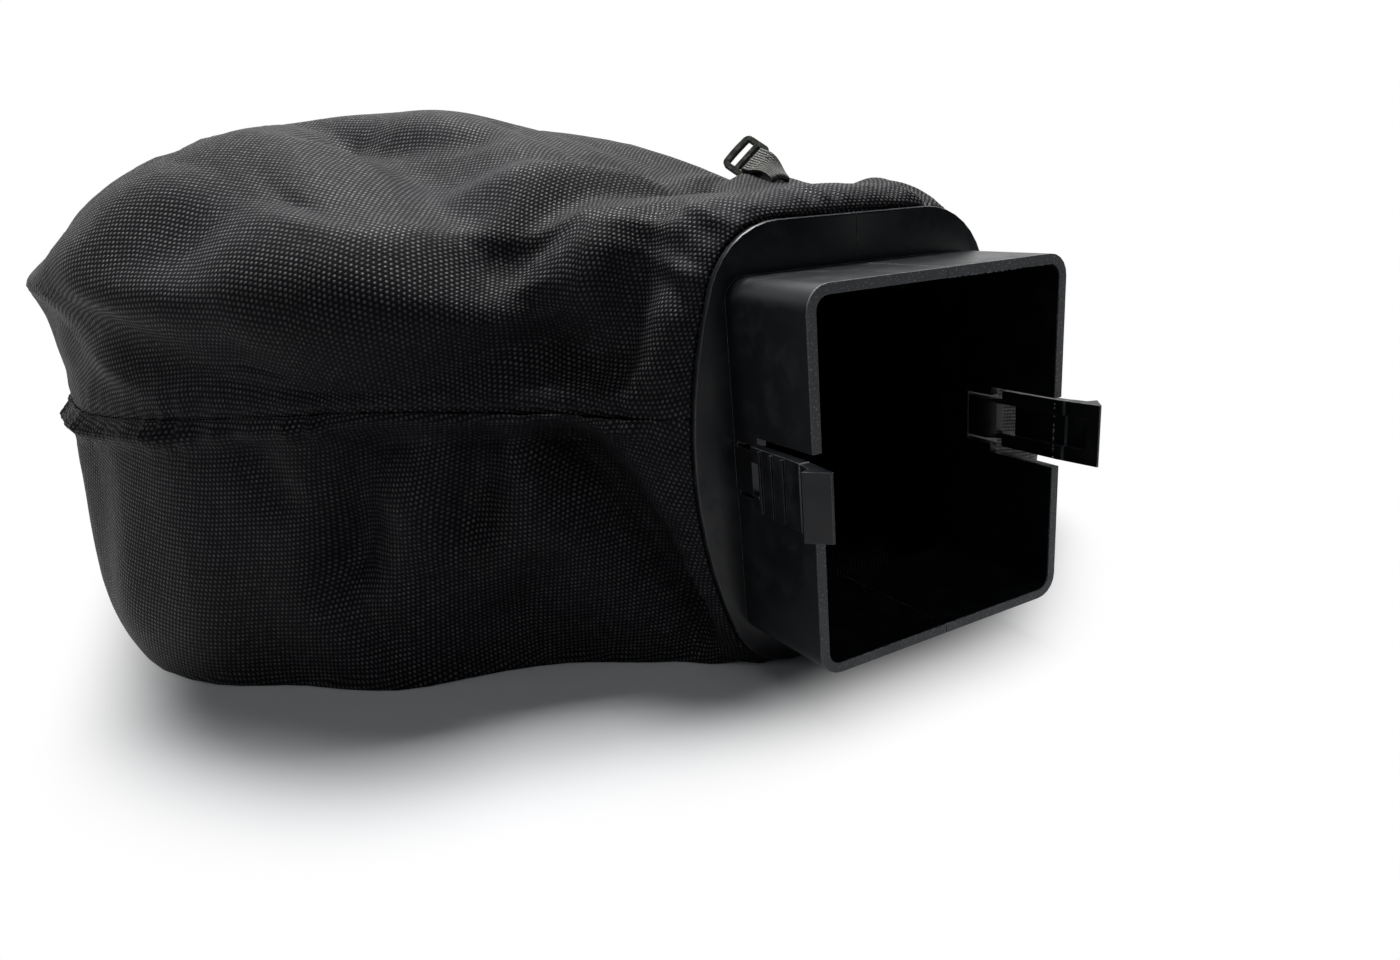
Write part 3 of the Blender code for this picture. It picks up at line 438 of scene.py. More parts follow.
@dataclass
class BagForm:
    """The outer face of the puffed bag, worked out from its sizes."""

    length: float = 560.0 * MM
    half_width: float = 238.0 * MM
    corner: float = 46.0 * MM
    flare_slope: float = 1.55
    flare_sharpness: float = 4.0
    seam_at_neck: float = 87.5 * MM
    seam_height: float = 96.0 * MM
    seam_at_end: float = 62.0 * MM
    neck_bulge: float = 13.0 * MM
    neck_blend: float = 62.0 * MM
    neck_roll: float = 8.0 * MM
    crest_at_neck: float = 55.5 * MM
    crest_mean: float = 91.0 * MM
    crest_swing: float = 29.0 * MM
    crest_shift: float = 30.0 * MM
    crest_spread: float = 70.0 * MM
    crest_run: float = 155.0 * MM
    left_fullness: float = 0.49
    right_fall: float = 0.5
    shoulder_top: float = 162.5 * MM
    shoulder_fall: float = 0.69
    shoulder_rise: float = 0.63
    shoulder_softness: float = 2.5 * MM
    shoulder_floor: float = 0.3
    taper_start: float = 300.0 * MM
    ground_press: float = 1.35
    ground_squareness: float = 0.16
    side_bulge: float = 12.0 * MM
    flange_side_radius: float = 156.0 * MM
    flange_corner: float = 26.0 * MM
    clamped: tuple[tuple[float, float], ...] = ((-1.0 * MM, 0.35 * MM), (0.3 * MM, 0.9 * MM))
    taper_power: float = 2.2
    drop_power: float = 0.75
    arc_points: int = 400
    column_crowding: float = 1.3
    row_crowding: float = 1.75

    def width(self, behind: float) -> float:
        """Half width in plan at a distance behind the flange."""
        grown = self.half_width - FLANGE_WIDTH / 2
        reach = self.flare_slope * behind / grown
        share = reach / (1 + reach ** self.flare_sharpness) ** (1 / self.flare_sharpness)
        width = FLANGE_WIDTH / 2 + grown * share
        into = (behind - self.length + self.corner) / self.corner
        if into > 0:
            width -= self.corner * (1 - math.sqrt(max(1 - into ** 2, 0.0)))
        return width

    def seam(self, behind: float) -> float:
        """Height of the seam over the ground at a distance behind the flange."""
        rise = smooth(behind / self.neck_blend)
        fall = smooth((behind - self.taper_start) / (self.length - self.taper_start))
        height = self.seam_at_neck + (self.seam_height - self.seam_at_neck) * rise
        return float(height + (self.seam_at_end - self.seam_height) * fall)

    def taper(self, behind: float) -> float:
        """Share of the full height that is left towards the closed end."""
        into = (behind - self.taper_start) / (self.length - self.taper_start)
        return math.sqrt(max(1 - max(into, 0.0) ** self.taper_power, 0.0))

    def outline(self, grow: float) -> np.ndarray:
        """The flange's outline grown outwards, from the middle of its right side all round.

        Args:
            grow: how far outside the flange, in metres.

        Returns:
            Rows of x and height over the duct's axis.
        """
        centre = FLANGE_WIDTH / 2 - self.flange_side_radius
        corner_z = FLANGE_HEIGHT / 2 - self.flange_corner
        run = math.sqrt((self.flange_side_radius - self.flange_corner) ** 2 - corner_z ** 2)
        turn = math.atan2(corner_z, run)
        side = np.linspace(0, turn, 12)
        bend = np.linspace(turn, math.pi / 2, 16)[1:]
        radius = self.flange_side_radius + grow
        small = self.flange_corner + grow
        x = np.concatenate([centre + radius * np.cos(side), centre + run + small * np.cos(bend)])
        z = np.concatenate([radius * np.sin(side), corner_z + small * np.sin(bend)])
        quarter = np.column_stack([x, z])
        top = np.concatenate([quarter, (quarter * (-1, 1))[::-1]])
        return np.concatenate([top, (top * (1, -1))[::-1][1:-1]])

    def neck_line(self, grow: float, side: Side) -> np.ndarray:
        """One panel's part of the grown outline, from the left seam to the right seam."""
        sign = 1 if side is Side.UPPER else -1
        seam = self.seam_at_neck - AXIS_Z
        ring = self.outline(grow)
        kept = ring[(ring[:, 1] - seam) * sign > 0.6 * MM]
        kept = kept[np.argsort(np.arctan2(kept[:, 0], sign * (kept[:, 1] - seam)))]
        first, last = (kept[0, 0], seam), (kept[-1, 0], seam)
        return np.concatenate([[first], kept, [last]]) + (0, AXIS_Z)

    def upper_pillow(self, behind: float) -> np.ndarray:
        """Puffed section above the seam: high on the left, lower and leaner on the right."""
        run = smooth(behind / self.crest_run)
        mean = self.crest_at_neck + (self.crest_mean - self.crest_at_neck) * run
        angle = np.pi * (1 - np.linspace(0, 1, self.arc_points))
        across, up = np.cos(angle), np.maximum(np.sin(angle), 0.0)
        x = self.width(behind) * across
        swing = self.crest_swing * run * np.tanh((x + self.crest_shift) / self.crest_spread)
        fall = self.left_fullness + self.right_fall * smooth(across * 2)
        rise = (mean - swing) * self.taper(behind) * up ** fall
        return np.column_stack([x, self.seam(behind) + rise])

    def lower_pillow(self, behind: float) -> np.ndarray:
        """Section below the seam: steep sagging sides that turn under and lie on the ground."""
        taper = self.taper(behind)
        bulge = self.side_bulge * smooth(behind / self.crest_run) * taper
        angle = np.pi * (1 - np.linspace(0, 1, self.arc_points))
        across, up = np.cos(angle), np.maximum(np.sin(angle), 0.0)
        width = self.width(behind) + bulge * smooth(up / 0.5)
        x = np.copysign(np.abs(across) ** self.ground_squareness, across) * width
        drop = self.seam(behind) * self.ground_press * taper * up ** self.drop_power
        return np.column_stack([x, self.seam(behind) - drop])

    def shoulder(self, points: np.ndarray, behind: float) -> np.ndarray:
        """Keeps a section under the right shoulder, a slope that falls to the right.

        Args:
            points: rows of x and height.
            behind: the section's distance behind the flange.

        Returns:
            The rows with their heights lowered.
        """
        limit = self.shoulder_top - self.shoulder_fall * points[:, 0] + self.shoulder_rise * behind
        excess = (points[:, 1] - limit) / self.shoulder_softness
        lowered = points[:, 1] - self.shoulder_softness * np.logaddexp(0.0, excess)
        seam = points[0, 1]
        floor = seam + (points[:, 1] - seam) * self.shoulder_floor
        return np.column_stack([points[:, 0], np.maximum(lowered, floor)])

    def spread(self, line: np.ndarray, columns: int) -> np.ndarray:
        """Places along a line, in steps that grow from its left end to its right end."""
        steps = np.linalg.norm(np.diff(line, axis=0), axis=1)
        lengths = np.concatenate([[0.0], np.cumsum(steps)])
        target = lengths[-1] * np.linspace(0, 1, columns + 1) ** self.column_crowding
        return np.column_stack([np.interp(target, lengths, line[:, part]) for part in (0, 1)])

    def section(self, side: Side, behind: float, columns: int) -> np.ndarray:
        """A panel's outer face in an upright plane across the bag.

        Args:
            side: which panel.
            behind: the plane's distance behind the flange.
            columns: how many steps to take across.

        Returns:
            Rows of x and height.
        """
        bulge = self.neck_bulge * (1 - math.exp(-behind / self.neck_roll))
        blend = smooth(behind / self.neck_blend)
        neck = self.spread(self.neck_line(bulge, side), columns)
        pillow = self.upper_pillow(behind) if side is Side.UPPER else self.lower_pillow(behind)
        points = neck + (self.spread(pillow, columns) - neck) * blend
        if side is Side.UPPER:
            points = self.shoulder(points, behind)
        return points

    def distances(self, rows: int) -> np.ndarray:
        """Distances behind the flange of the rows of a panel, close together at the neck."""
        steps = np.linspace(0, 1, rows + 1)[1:]
        return self.length * np.sin(np.pi / 2 * steps ** self.row_crowding)

    def face(self, side: Side, rows: int, columns: int) -> np.ndarray:
        """A panel's outer face as rows of points, before it is folded.

        Args:
            side: which panel.
            rows: how many rows lie behind the flange.
            columns: how many steps each row has.

        Returns:
            An array of rows, columns and x, y, z.
        """
        lines = [(self.spread(self.neck_line(grow, side), columns), behind)
                 for grow, behind in self.clamped]
        lines += [(self.section(side, float(behind), columns), behind)
                  for behind in self.distances(rows)]
        return np.array([np.column_stack([flat[:, 0], np.full(columns + 1, FLANGE_BACK + behind),
                                          flat[:, 1]]) for flat, behind in lines])


def outward(face: np.ndarray, side: Side) -> np.ndarray:
    """Unit normals of a grid of points, out of the bag.

    Args:
        face: rows, columns and x, y, z.
        side: which panel.

    Returns:
        A normal for each point.
    """
    down = np.gradient(face, axis=0)
    across = np.gradient(face, axis=1)
    normal = np.cross(across, down)
    normal /= np.maximum(np.linalg.norm(normal, axis=-1, keepdims=True), 1e-12)
    return normal if side is Side.UPPER else -normal


def finer(values: np.ndarray, steps: int) -> np.ndarray:
    """Fills a grid of values in between its rows and columns.

    Args:
        values: rows, columns and parts.
        steps: how many steps to make of each.

    Returns:
        The finer grid; it keeps the first and the last row and column.
    """
    for _ in range(2):
        parts = [values[:-1] + (values[1:] - values[:-1]) * (step / steps) for step in range(steps)]
        between = np.stack(parts, axis=1).reshape(-1, *values.shape[1:])
        values = np.concatenate([between, values[-1:]]).swapaxes(0, 1)
    return values


def meshed(name: str, body: bmesh.types.BMesh, smooth: bool) -> bpy.types.Mesh:
    """Turns a bmesh into a mesh and frees it.

    Args:
        name: the mesh's name.
        body: the finished form.
        smooth: whether its faces are shaded smooth.

    Returns:
        The mesh.
    """
    for face in body.faces:
        face.smooth = smooth
    mesh = bpy.data.meshes.new(name)
    body.to_mesh(mesh)
    body.free()
    return mesh


def grid_mesh(name: str, places: np.ndarray, flat: np.ndarray | None = None) -> bpy.types.Mesh:
    """A smooth mesh of a grid that runs through places.

    Args:
        name: the mesh's name.
        places: rows, columns and x, y, z.
        flat: rows, columns and u, v in metres for its UV map, or None for an empty map.

    Returns:
        The mesh; its faces look along the rows' direction crossed with the columns'.
    """
    rows, columns = places.shape[:2]
    body = bmesh.new()
    bmesh.ops.create_grid(body, x_segments=columns - 1, y_segments=rows - 1, size=0.5)
    layer = body.loops.layers.uv.new("cloth")
    for vertex, place in zip(body.verts, places.reshape(-1, 3)):
        vertex.co = place
    if flat is not None:
        spots = flat.reshape(-1, 2)
        for face in body.faces:
            for loop in face.loops:
                loop[layer].uv = spots[loop.vert.index]
    return meshed(name, body, smooth=True)


def placed(mesh: bpy.types.Mesh, *materials: bpy.types.Material) -> bpy.types.Object:
    """Puts a mesh into the scene under its own name, with its materials."""
    for material in materials:
        mesh.materials.append(material)
    piece = bpy.data.objects.new(mesh.name, mesh)
    bpy.context.scene.collection.objects.link(piece)
    return piece


def calmed(values: np.ndarray, passes: int) -> np.ndarray:
    """Evens out a grid of values; its border stays.

    Args:
        values: rows, columns and parts.
        passes: how many times each value becomes the mean of the four beside it.

    Returns:
        The even grid.
    """
    values = values.copy()
    for _ in range(passes):
        beside = values[:-2, 1:-1] + values[2:, 1:-1] + values[1:-1, :-2] + values[1:-1, 2:]
        values[1:-1, 1:-1] = beside / 4
    return values


@dataclass(frozen=True)
class Ripple:
    """An uneven row of ripples: their spacing wanders, and they swell and fade."""

    length: float
    wander: float
    wander_beat: float
    mean: float
    swing: float
    swing_beat: float
    shift: float = 0.0

    def phase(self, run: np.ndarray) -> np.ndarray:
        """The angle of the ripples at distances along the cloth."""
        return run / self.length * 2 * np.pi

    def wave(self, phase: np.ndarray) -> np.ndarray:
        """The height of the ripples at an angle, about -1 to 1."""
        swell = self.mean + self.swing * np.sin(phase * self.swing_beat + self.shift)
        return np.sin(phase + self.wander * np.sin(phase * self.wander_beat)) * swell


@dataclass
class ClothBag:
    """The two sewn cloth panels of the bag."""

    form: BagForm
    rows: int = 199
    columns: int = 240
    cloth: float = 0.6 * MM
    fold_start: float = 8.0 * MM
    seam_room: float = 14.0 * MM
    pucker: float = 0.9 * MM
    puckers: Ripple = Ripple(9.0 * MM, 1.3, 0.31, 0.6, 0.4, 0.17)
    pucker_reach: float = 6.0 * MM
    pucker_start: float = 20.0 * MM
    welts: tuple[float, float] = (0.7 * MM, 5.2 * MM)
    welt_place: float = 5.0 * MM
    welt_width: float = 3.6 * MM
    welt_start: float = 6.0 * MM
    welt_growth: float = 16.0 * MM
    welt_evenness: tuple[float, float] = (0.8, 0.4)
    flat_mesh: int = 5
    weave: int = 2
    loose_hold: float = 0.08
    gravity: float = 0.2
    spare_length: float = 0.05
    settle_frames: int = 18
    most_move: float = 9.0 * MM
    crease_smoothing: int = 2
    sag_smoothing: int = 120
    sag_taken: float = 0.9
    crumple_share: float = 0.62
    tab_calm: float = 18.0 * MM
    gather: float = 1.1 * MM
    gather_ripple: Ripple = Ripple(11.0 * MM, 1.7, 0.23, 0.65, 0.35, 0.37, 1)
    gather_start: float = 3.0 * MM
    gather_reach: float = 14.0 * MM
    cut_allowance: float = 1.02
    sewn_in: float = 20.0 * MM

    def folded(self, side: Side) -> np.ndarray:
        """A panel's outer face with its folds and the puckers of its seam."""
        face = self.form.face(side, self.rows, self.columns)
        normal = outward(face, side)
        local = face - (0, FLANGE_BACK, 0)
        folds = UPPER_FOLDS if side is Side.UPPER else LOWER_FOLDS
        lift = sum(fold.height(local) for fold in folds)
        seam = np.array([self.form.seam(float(behind)) for behind in local[:, 0, 1]])
        from_seam = np.abs(local[..., 2] - seam[:, None])
        lift = lift * smooth(local[..., 1] / self.fold_start) * smooth(from_seam / self.seam_room)
        lift = lift * self.away_from_tab(face)
        steps = np.linalg.norm(np.diff(face[:, 0], axis=0), axis=1)
        path = np.concatenate([[0.0], np.cumsum(steps)])
        wave = self.puckers.wave(self.puckers.phase(path))
        edge = np.exp(-from_seam / self.pucker_reach) * smooth(local[..., 1] / self.pucker_start)
        lift = lift + wave[:, None] * self.pucker * edge
        welt = np.exp(-((from_seam - self.welt_place) / self.welt_width) ** 2)
        behind_neck = smooth((local[..., 1] - self.welt_start) / self.welt_growth)
        puffed = self.welts[0] if side is Side.UPPER else self.welts[1]
        even, uneven = self.welt_evenness
        lift = lift + puffed * welt * (even + uneven * wave[:, None]) * behind_neck
        lift = lift + self.gathers(face) * smooth(from_seam / self.seam_room)
        folded = face + normal * lift[..., None]
        folded = folded + self.crumple(folded)
        folded[..., 2] = np.maximum(folded[..., 2], 0.0)
        return folded

    def away_from_tab(self, face: np.ndarray) -> np.ndarray:
        """0 where the webbing tab lies on the cloth, 1 away from it."""
        gap = np.hypot(face[..., 0] - TAB_X, face[..., 1] - TAB_Y)
        return smooth(gap / self.tab_calm - 0.4)

    def gathers(self, face: np.ndarray) -> np.ndarray:
        """The small ripples where the neck is gathered into the clamp.

        Args:
            face: rows, columns and x, y, z.

        Returns:
            The lift of each point, in metres.
        """
        behind = face[..., 1] - FLANGE_BACK
        run = np.linalg.norm(np.diff(face[4], axis=0), axis=1)
        phase = self.gather_ripple.phase(np.concatenate([[0.0], np.cumsum(run)]))
        wave = self.gather_ripple.wave(phase)
        reach = self.gather_reach * (1.2 + 0.6 * np.sin(phase * 0.29))
        fade = smooth(behind / self.gather_start) * np.exp(-np.maximum(behind, 0.0) / reach)
        return self.gather * wave * fade

    def flat_places(self, face: np.ndarray) -> np.ndarray:
        """Where each point lies on the flat cloth, so that the embossing keeps its size.

        A coarse net of the cloth is laid flat with the least stretch, its middle column straight.

        Args:
            face: rows, columns and x, y, z.

        Returns:
            Rows, columns and u, v in metres.
        """
        net = face[::self.flat_mesh, ::self.flat_mesh]
        rows, columns = net.shape[:2]
        mesh = grid_mesh("flat_cloth", net)
        cloth = placed(mesh)
        bpy.ops.object.select_all(action="DESELECT")
        cloth.select_set(True)
        bpy.context.view_layer.objects.active = cloth
        bpy.ops.object.mode_set(mode="EDIT")
        bpy.ops.mesh.select_all(action="SELECT")
        bpy.ops.uv.unwrap(method="MINIMUM_STRETCH", margin=0.0)
        bpy.ops.object.mode_set(mode="OBJECT")
        corners = np.empty(len(mesh.loops), dtype=int)
        mesh.loops.foreach_get("vertex_index", corners)
        spots = np.empty(len(mesh.loops) * 2)
        mesh.uv_layers[0].data.foreach_get("uv", spots)
        flat = np.empty((rows * columns, 2))
        flat[corners] = spots.reshape(-1, 2)
        flat = flat.reshape(rows, columns, 2)
        bpy.data.objects.remove(cloth, do_unlink=True)
        back = flat[-1, columns // 2] - flat[0, columns // 2]
        back /= np.linalg.norm(back)
        flat = np.stack([flat @ (back[1], -back[0]), flat @ back], axis=-1)
        true = np.linalg.norm(np.diff(net, axis=0), axis=-1).sum()
        flat *= true / np.linalg.norm(np.diff(flat, axis=0), axis=-1).sum()
        return finer(flat - flat.min(axis=(0, 1)), self.flat_mesh)

    def crumple(self, face: np.ndarray) -> np.ndarray:
        """How far a cloth with some length to spare moves when it settles into wrinkles.

        The cloth is held at the clamp and along its seams, and only loosely elsewhere.

        Args:
            face: rows, columns and x, y, z of the cloth before it settles.

        Returns:
            The move of each point, in metres.
        """
        net = face[::self.weave, ::self.weave]
        rows, columns = net.shape[:2]
        cloth = placed(grid_mesh("settling_cloth", net))
        pins = cloth.vertex_groups.new(name="held")
        edge = np.zeros((rows, columns), dtype=bool)
        edge[:3] = edge[-1] = edge[:, 0] = edge[:, -1] = True
        pins.add([int(index) for index in np.flatnonzero(~edge)], self.loose_hold, "REPLACE")
        pins.add([int(index) for index in np.flatnonzero(edge)], 1.0, "REPLACE")
        cloth.modifiers.new("settle", "CLOTH")
        settings = cloth.modifiers["settle"].settings
        for key, value in CLOTH_SETTINGS.items():
            setattr(settings, key, value)
        settings.vertex_group_mass = "held"
        settings.shrink_min = -self.spare_length
        settings.effector_weights.gravity = self.gravity
        scene = bpy.context.scene
        for moment in range(1, self.settle_frames + 1):
            scene.frame_set(moment)
        settled = cloth.evaluated_get(bpy.context.evaluated_depsgraph_get())
        flat = np.empty(rows * columns * 3)
        settled.data.vertices.foreach_get("co", flat)
        moved = flat.reshape(net.shape) - net
        scene.frame_set(1)
        bpy.data.objects.remove(cloth, do_unlink=True)
        moved = calmed(moved, self.crease_smoothing)
        moved = (moved - calmed(moved, self.sag_smoothing) * self.sag_taken) * self.crumple_share
        moved *= self.away_from_tab(net)[..., None]
        length = np.linalg.norm(moved, axis=-1, keepdims=True)
        log.info("settled: %.1f mm on average, %.1f mm at most",
                 length.mean() / MM, length.max() / MM)
        moved *= np.minimum(1.0, self.most_move / np.maximum(length, 0.001 * MM))
        return finer(moved, self.weave)

    def panel(self, side: Side, face: np.ndarray, material: bpy.types.Material) -> bpy.types.Object:
        """Builds one panel as a thin cloth.

        Args:
            side: which panel.
            face: its outer face as rows, columns and x, y, z.
            material: the cloth's material.

        Returns:
            The panel's object.
        """
        flat = self.flat_places(face)
        if side is Side.LOWER:
            face, flat = face[:, ::-1], flat[:, ::-1]
        cloth = placed(grid_mesh(f"bag_{side.value}_cloth", face, flat), material)
        thick = cloth.modifiers.new("cloth", "SOLIDIFY")
        thick.thickness = self.cloth
        thick.offset = -1.0
        return cloth

    def build(self) -> list[bpy.types.Object]:
        """Builds both panels in place of the solids that stand for them, and their seam.

        Returns:
            The two panels and the stitches.
        """
        material = EmbossedNonwoven().material()
        pieces = []
        for side in Side:
            face = self.folded(side)
            cloth = self.panel(side, face, material)
            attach(cloth, "root")
            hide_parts(f"bag_{side.value}_panel")
            pieces.append(cloth)
            if side is Side.UPPER:
                pieces.append(SeamStitches().build(face))
        return pieces


@dataclass
class SeamStitches:
    """The row of lockstitches beside the seam, down both sides of the bag and across its end."""

    pitch: float = 3.2 * MM
    size: tuple[float, float, float] = (1.35 * MM, 0.24 * MM, 0.2 * MM)
    from_seam: float = 2.2 * MM
    first_row: int = 24
    near: int = 16

    def line(self, rows: np.ndarray) -> np.ndarray:
        """The places at the stitches' distance from the seam.

        Args:
            rows: lines of places that start at the seam and lead away from it.

        Returns:
            One place for each line.
        """
        steps = np.linalg.norm(np.diff(rows, axis=1), axis=2)
        run = np.concatenate([np.zeros((len(rows), 1)), np.cumsum(steps, axis=1)], axis=1)
        return np.array([[np.interp(self.from_seam, lengths, row[:, part]) for part in range(3)]
                         for lengths, row in zip(run, rows)])

    def sew(self, body: bmesh.types.BMesh, line: np.ndarray, out: np.ndarray) -> None:
        """Adds a stitch at each step of a line.

        Args:
            body: takes the stitches.
            line: the places to sew along.
            out: the cloth's normal at each place.
        """
        run = np.concatenate([[0.0], np.cumsum(np.linalg.norm(np.diff(line, axis=0), axis=1))])
        for middle in np.arange(self.pitch, run[-1] - self.pitch, self.pitch):
            spots = ((middle - self.pitch / 3, line), (middle + self.pitch / 3, line),
                     (middle, line), (middle, out))
            start, end, place, up = (
                Vector([np.interp(at, run, source[:, part]) for part in range(3)])
                for at, source in spots)
            along = (end - start).normalized()
            side = up.cross(along).normalized()
            pose = Matrix((along, side, along.cross(side))).transposed().to_4x4()
            pose.translation = place
            bmesh.ops.create_icosphere(body, subdivisions=2, radius=1.0,
                                       matrix=pose @ Matrix.Diagonal((*self.size, 1.0)))

    def build(self, face: np.ndarray) -> bpy.types.Object:
        """Builds the stitches of the upper panel.

        Args:
            face: the panel's outer face as rows, columns and x, y, z.

        Returns:
            The stitches' object.
        """
        normal = outward(face, Side.UPPER)
        body = bmesh.new()
        for turned, out in ((face, normal), (face[:, ::-1], normal[:, ::-1]),
                            (face[::-1].swapaxes(0, 1), normal[::-1].swapaxes(0, 1))):
            rows = slice(self.first_row, -self.first_row // 2)
            self.sew(body, self.line(turned[rows, :self.near]), out[rows, 1])
        stitches = placed(meshed("seam_stitches", body, smooth=True), SEAM_THREAD.material())
        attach(stitches, "root")
        return stitches


@dataclass
class Collar:
    """The moulded collar: two halves with their latches, and the clamp behind the flange."""

    edge_round: float = 0.4 * MM
    # Runs of the mouth's inner edge that carry flash: two ends each, x and height over the axis
    # in mm
    flash_runs: tuple[tuple[tuple[float, float], tuple[float, float]], ...] = (
        ((0.5, 52.1), (40.2, 52.1)),
        ((44.2, 30.0), (44.2, -8.0)),
        ((-39.78, -52.1), (26.52, -52.1)),
    )
    flash_step: float = 0.55 * MM
    flash_size: tuple[float, float] = (0.1 * MM, 0.36 * MM)
    flash_seed: int = 7
    sharp_angle: float = math.radians(32)
    weld: float = 0.002 * MM
    flat_within: float = math.radians(0.6)
    screws: int = 8

    def dressed(self, frame: dict[str, object], node: str,
                materials: Sequence[bpy.types.Material]) -> bpy.types.Object:
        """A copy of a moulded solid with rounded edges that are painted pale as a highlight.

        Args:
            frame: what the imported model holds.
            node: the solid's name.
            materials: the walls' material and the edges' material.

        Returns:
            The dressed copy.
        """
        body = bmesh.new()
        body.from_mesh(frame["nodes"][node].data)
        bmesh.ops.remove_doubles(body, verts=body.verts, dist=self.weld)
        bmesh.ops.dissolve_limit(body, angle_limit=self.flat_within, verts=body.verts,
                                 edges=body.edges)
        piece = placed(meshed(f"{node}_moulding", body, smooth=True), *materials)
        piece.data.set_sharp_from_angle(angle=self.sharp_angle)
        rounded = piece.modifiers.new("edges", "BEVEL")
        rounded.width = self.edge_round
        rounded.segments = 2
        rounded.limit_method = "ANGLE"
        rounded.angle_limit = self.sharp_angle
        rounded.harden_normals = True
        # The rounded edges take the second material, a painted highlight
        rounded.material = 1
        return piece

    def flash(self) -> bpy.types.Object:
        """Builds the ragged flash that moulding left along the mouth's inner edge."""
        ragged = np.random.default_rng(self.flash_seed)
        body = bmesh.new()
        for start, end in np.array(self.flash_runs) * MM:
            count = int(np.linalg.norm(end - start) / self.flash_step)
            for share in ragged.uniform(0, 1, count):
                spot = start + (end - start) * share
                size = ragged.uniform(*self.flash_size, 3)
                pose = Matrix.Translation((spot[0], MOUTH_Y, AXIS_Z + spot[1]))
                bmesh.ops.create_icosphere(body, subdivisions=1, radius=1.0,
                                           matrix=pose @ Matrix.Diagonal((*size, 1.0)))
        # The flash is painted pale grey, a painted highlight like the edges'
        paler = replace(EDGE_PAINTED_HIGHLIGHT, shade="9b9c9e", cloud="dcdcda")
        flash = placed(meshed("collar_flash", body, smooth=False), paler.material())
        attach(flash, "root")
        return flash

    def build(self, frame: dict[str, object]) -> list[bpy.types.Object]:
        """Builds the collar halves and dresses the clamp.

        Args:
            frame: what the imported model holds.

        Returns:
            The two collar halves and their flash.
        """
        walls = BlackMoulding().material()
        # The edges' material paints a pale highlight along every rounded edge
        edges = EDGE_PAINTED_HIGHLIGHT.material()
        halves = []
        for node in ("collar_half_left", "collar_half_right"):
            half = self.dressed(frame, node, (walls, edges))
            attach(half, "root")
            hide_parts(node)
            halves.append(half)
        halves.append(self.flash())
        wear(frame["nodes"]["retaining_frame"], walls)
        zinc = ZINC_PLATE.material()
        for index in range(1, self.screws + 1):
            wear(frame["nodes"][f"frame_screw_{index}"], zinc)
        return halves


def wear(node: bpy.types.Object, material: bpy.types.Material) -> None:
    """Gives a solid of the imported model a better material."""
    node.data.materials.clear()
    node.data.materials.append(material)


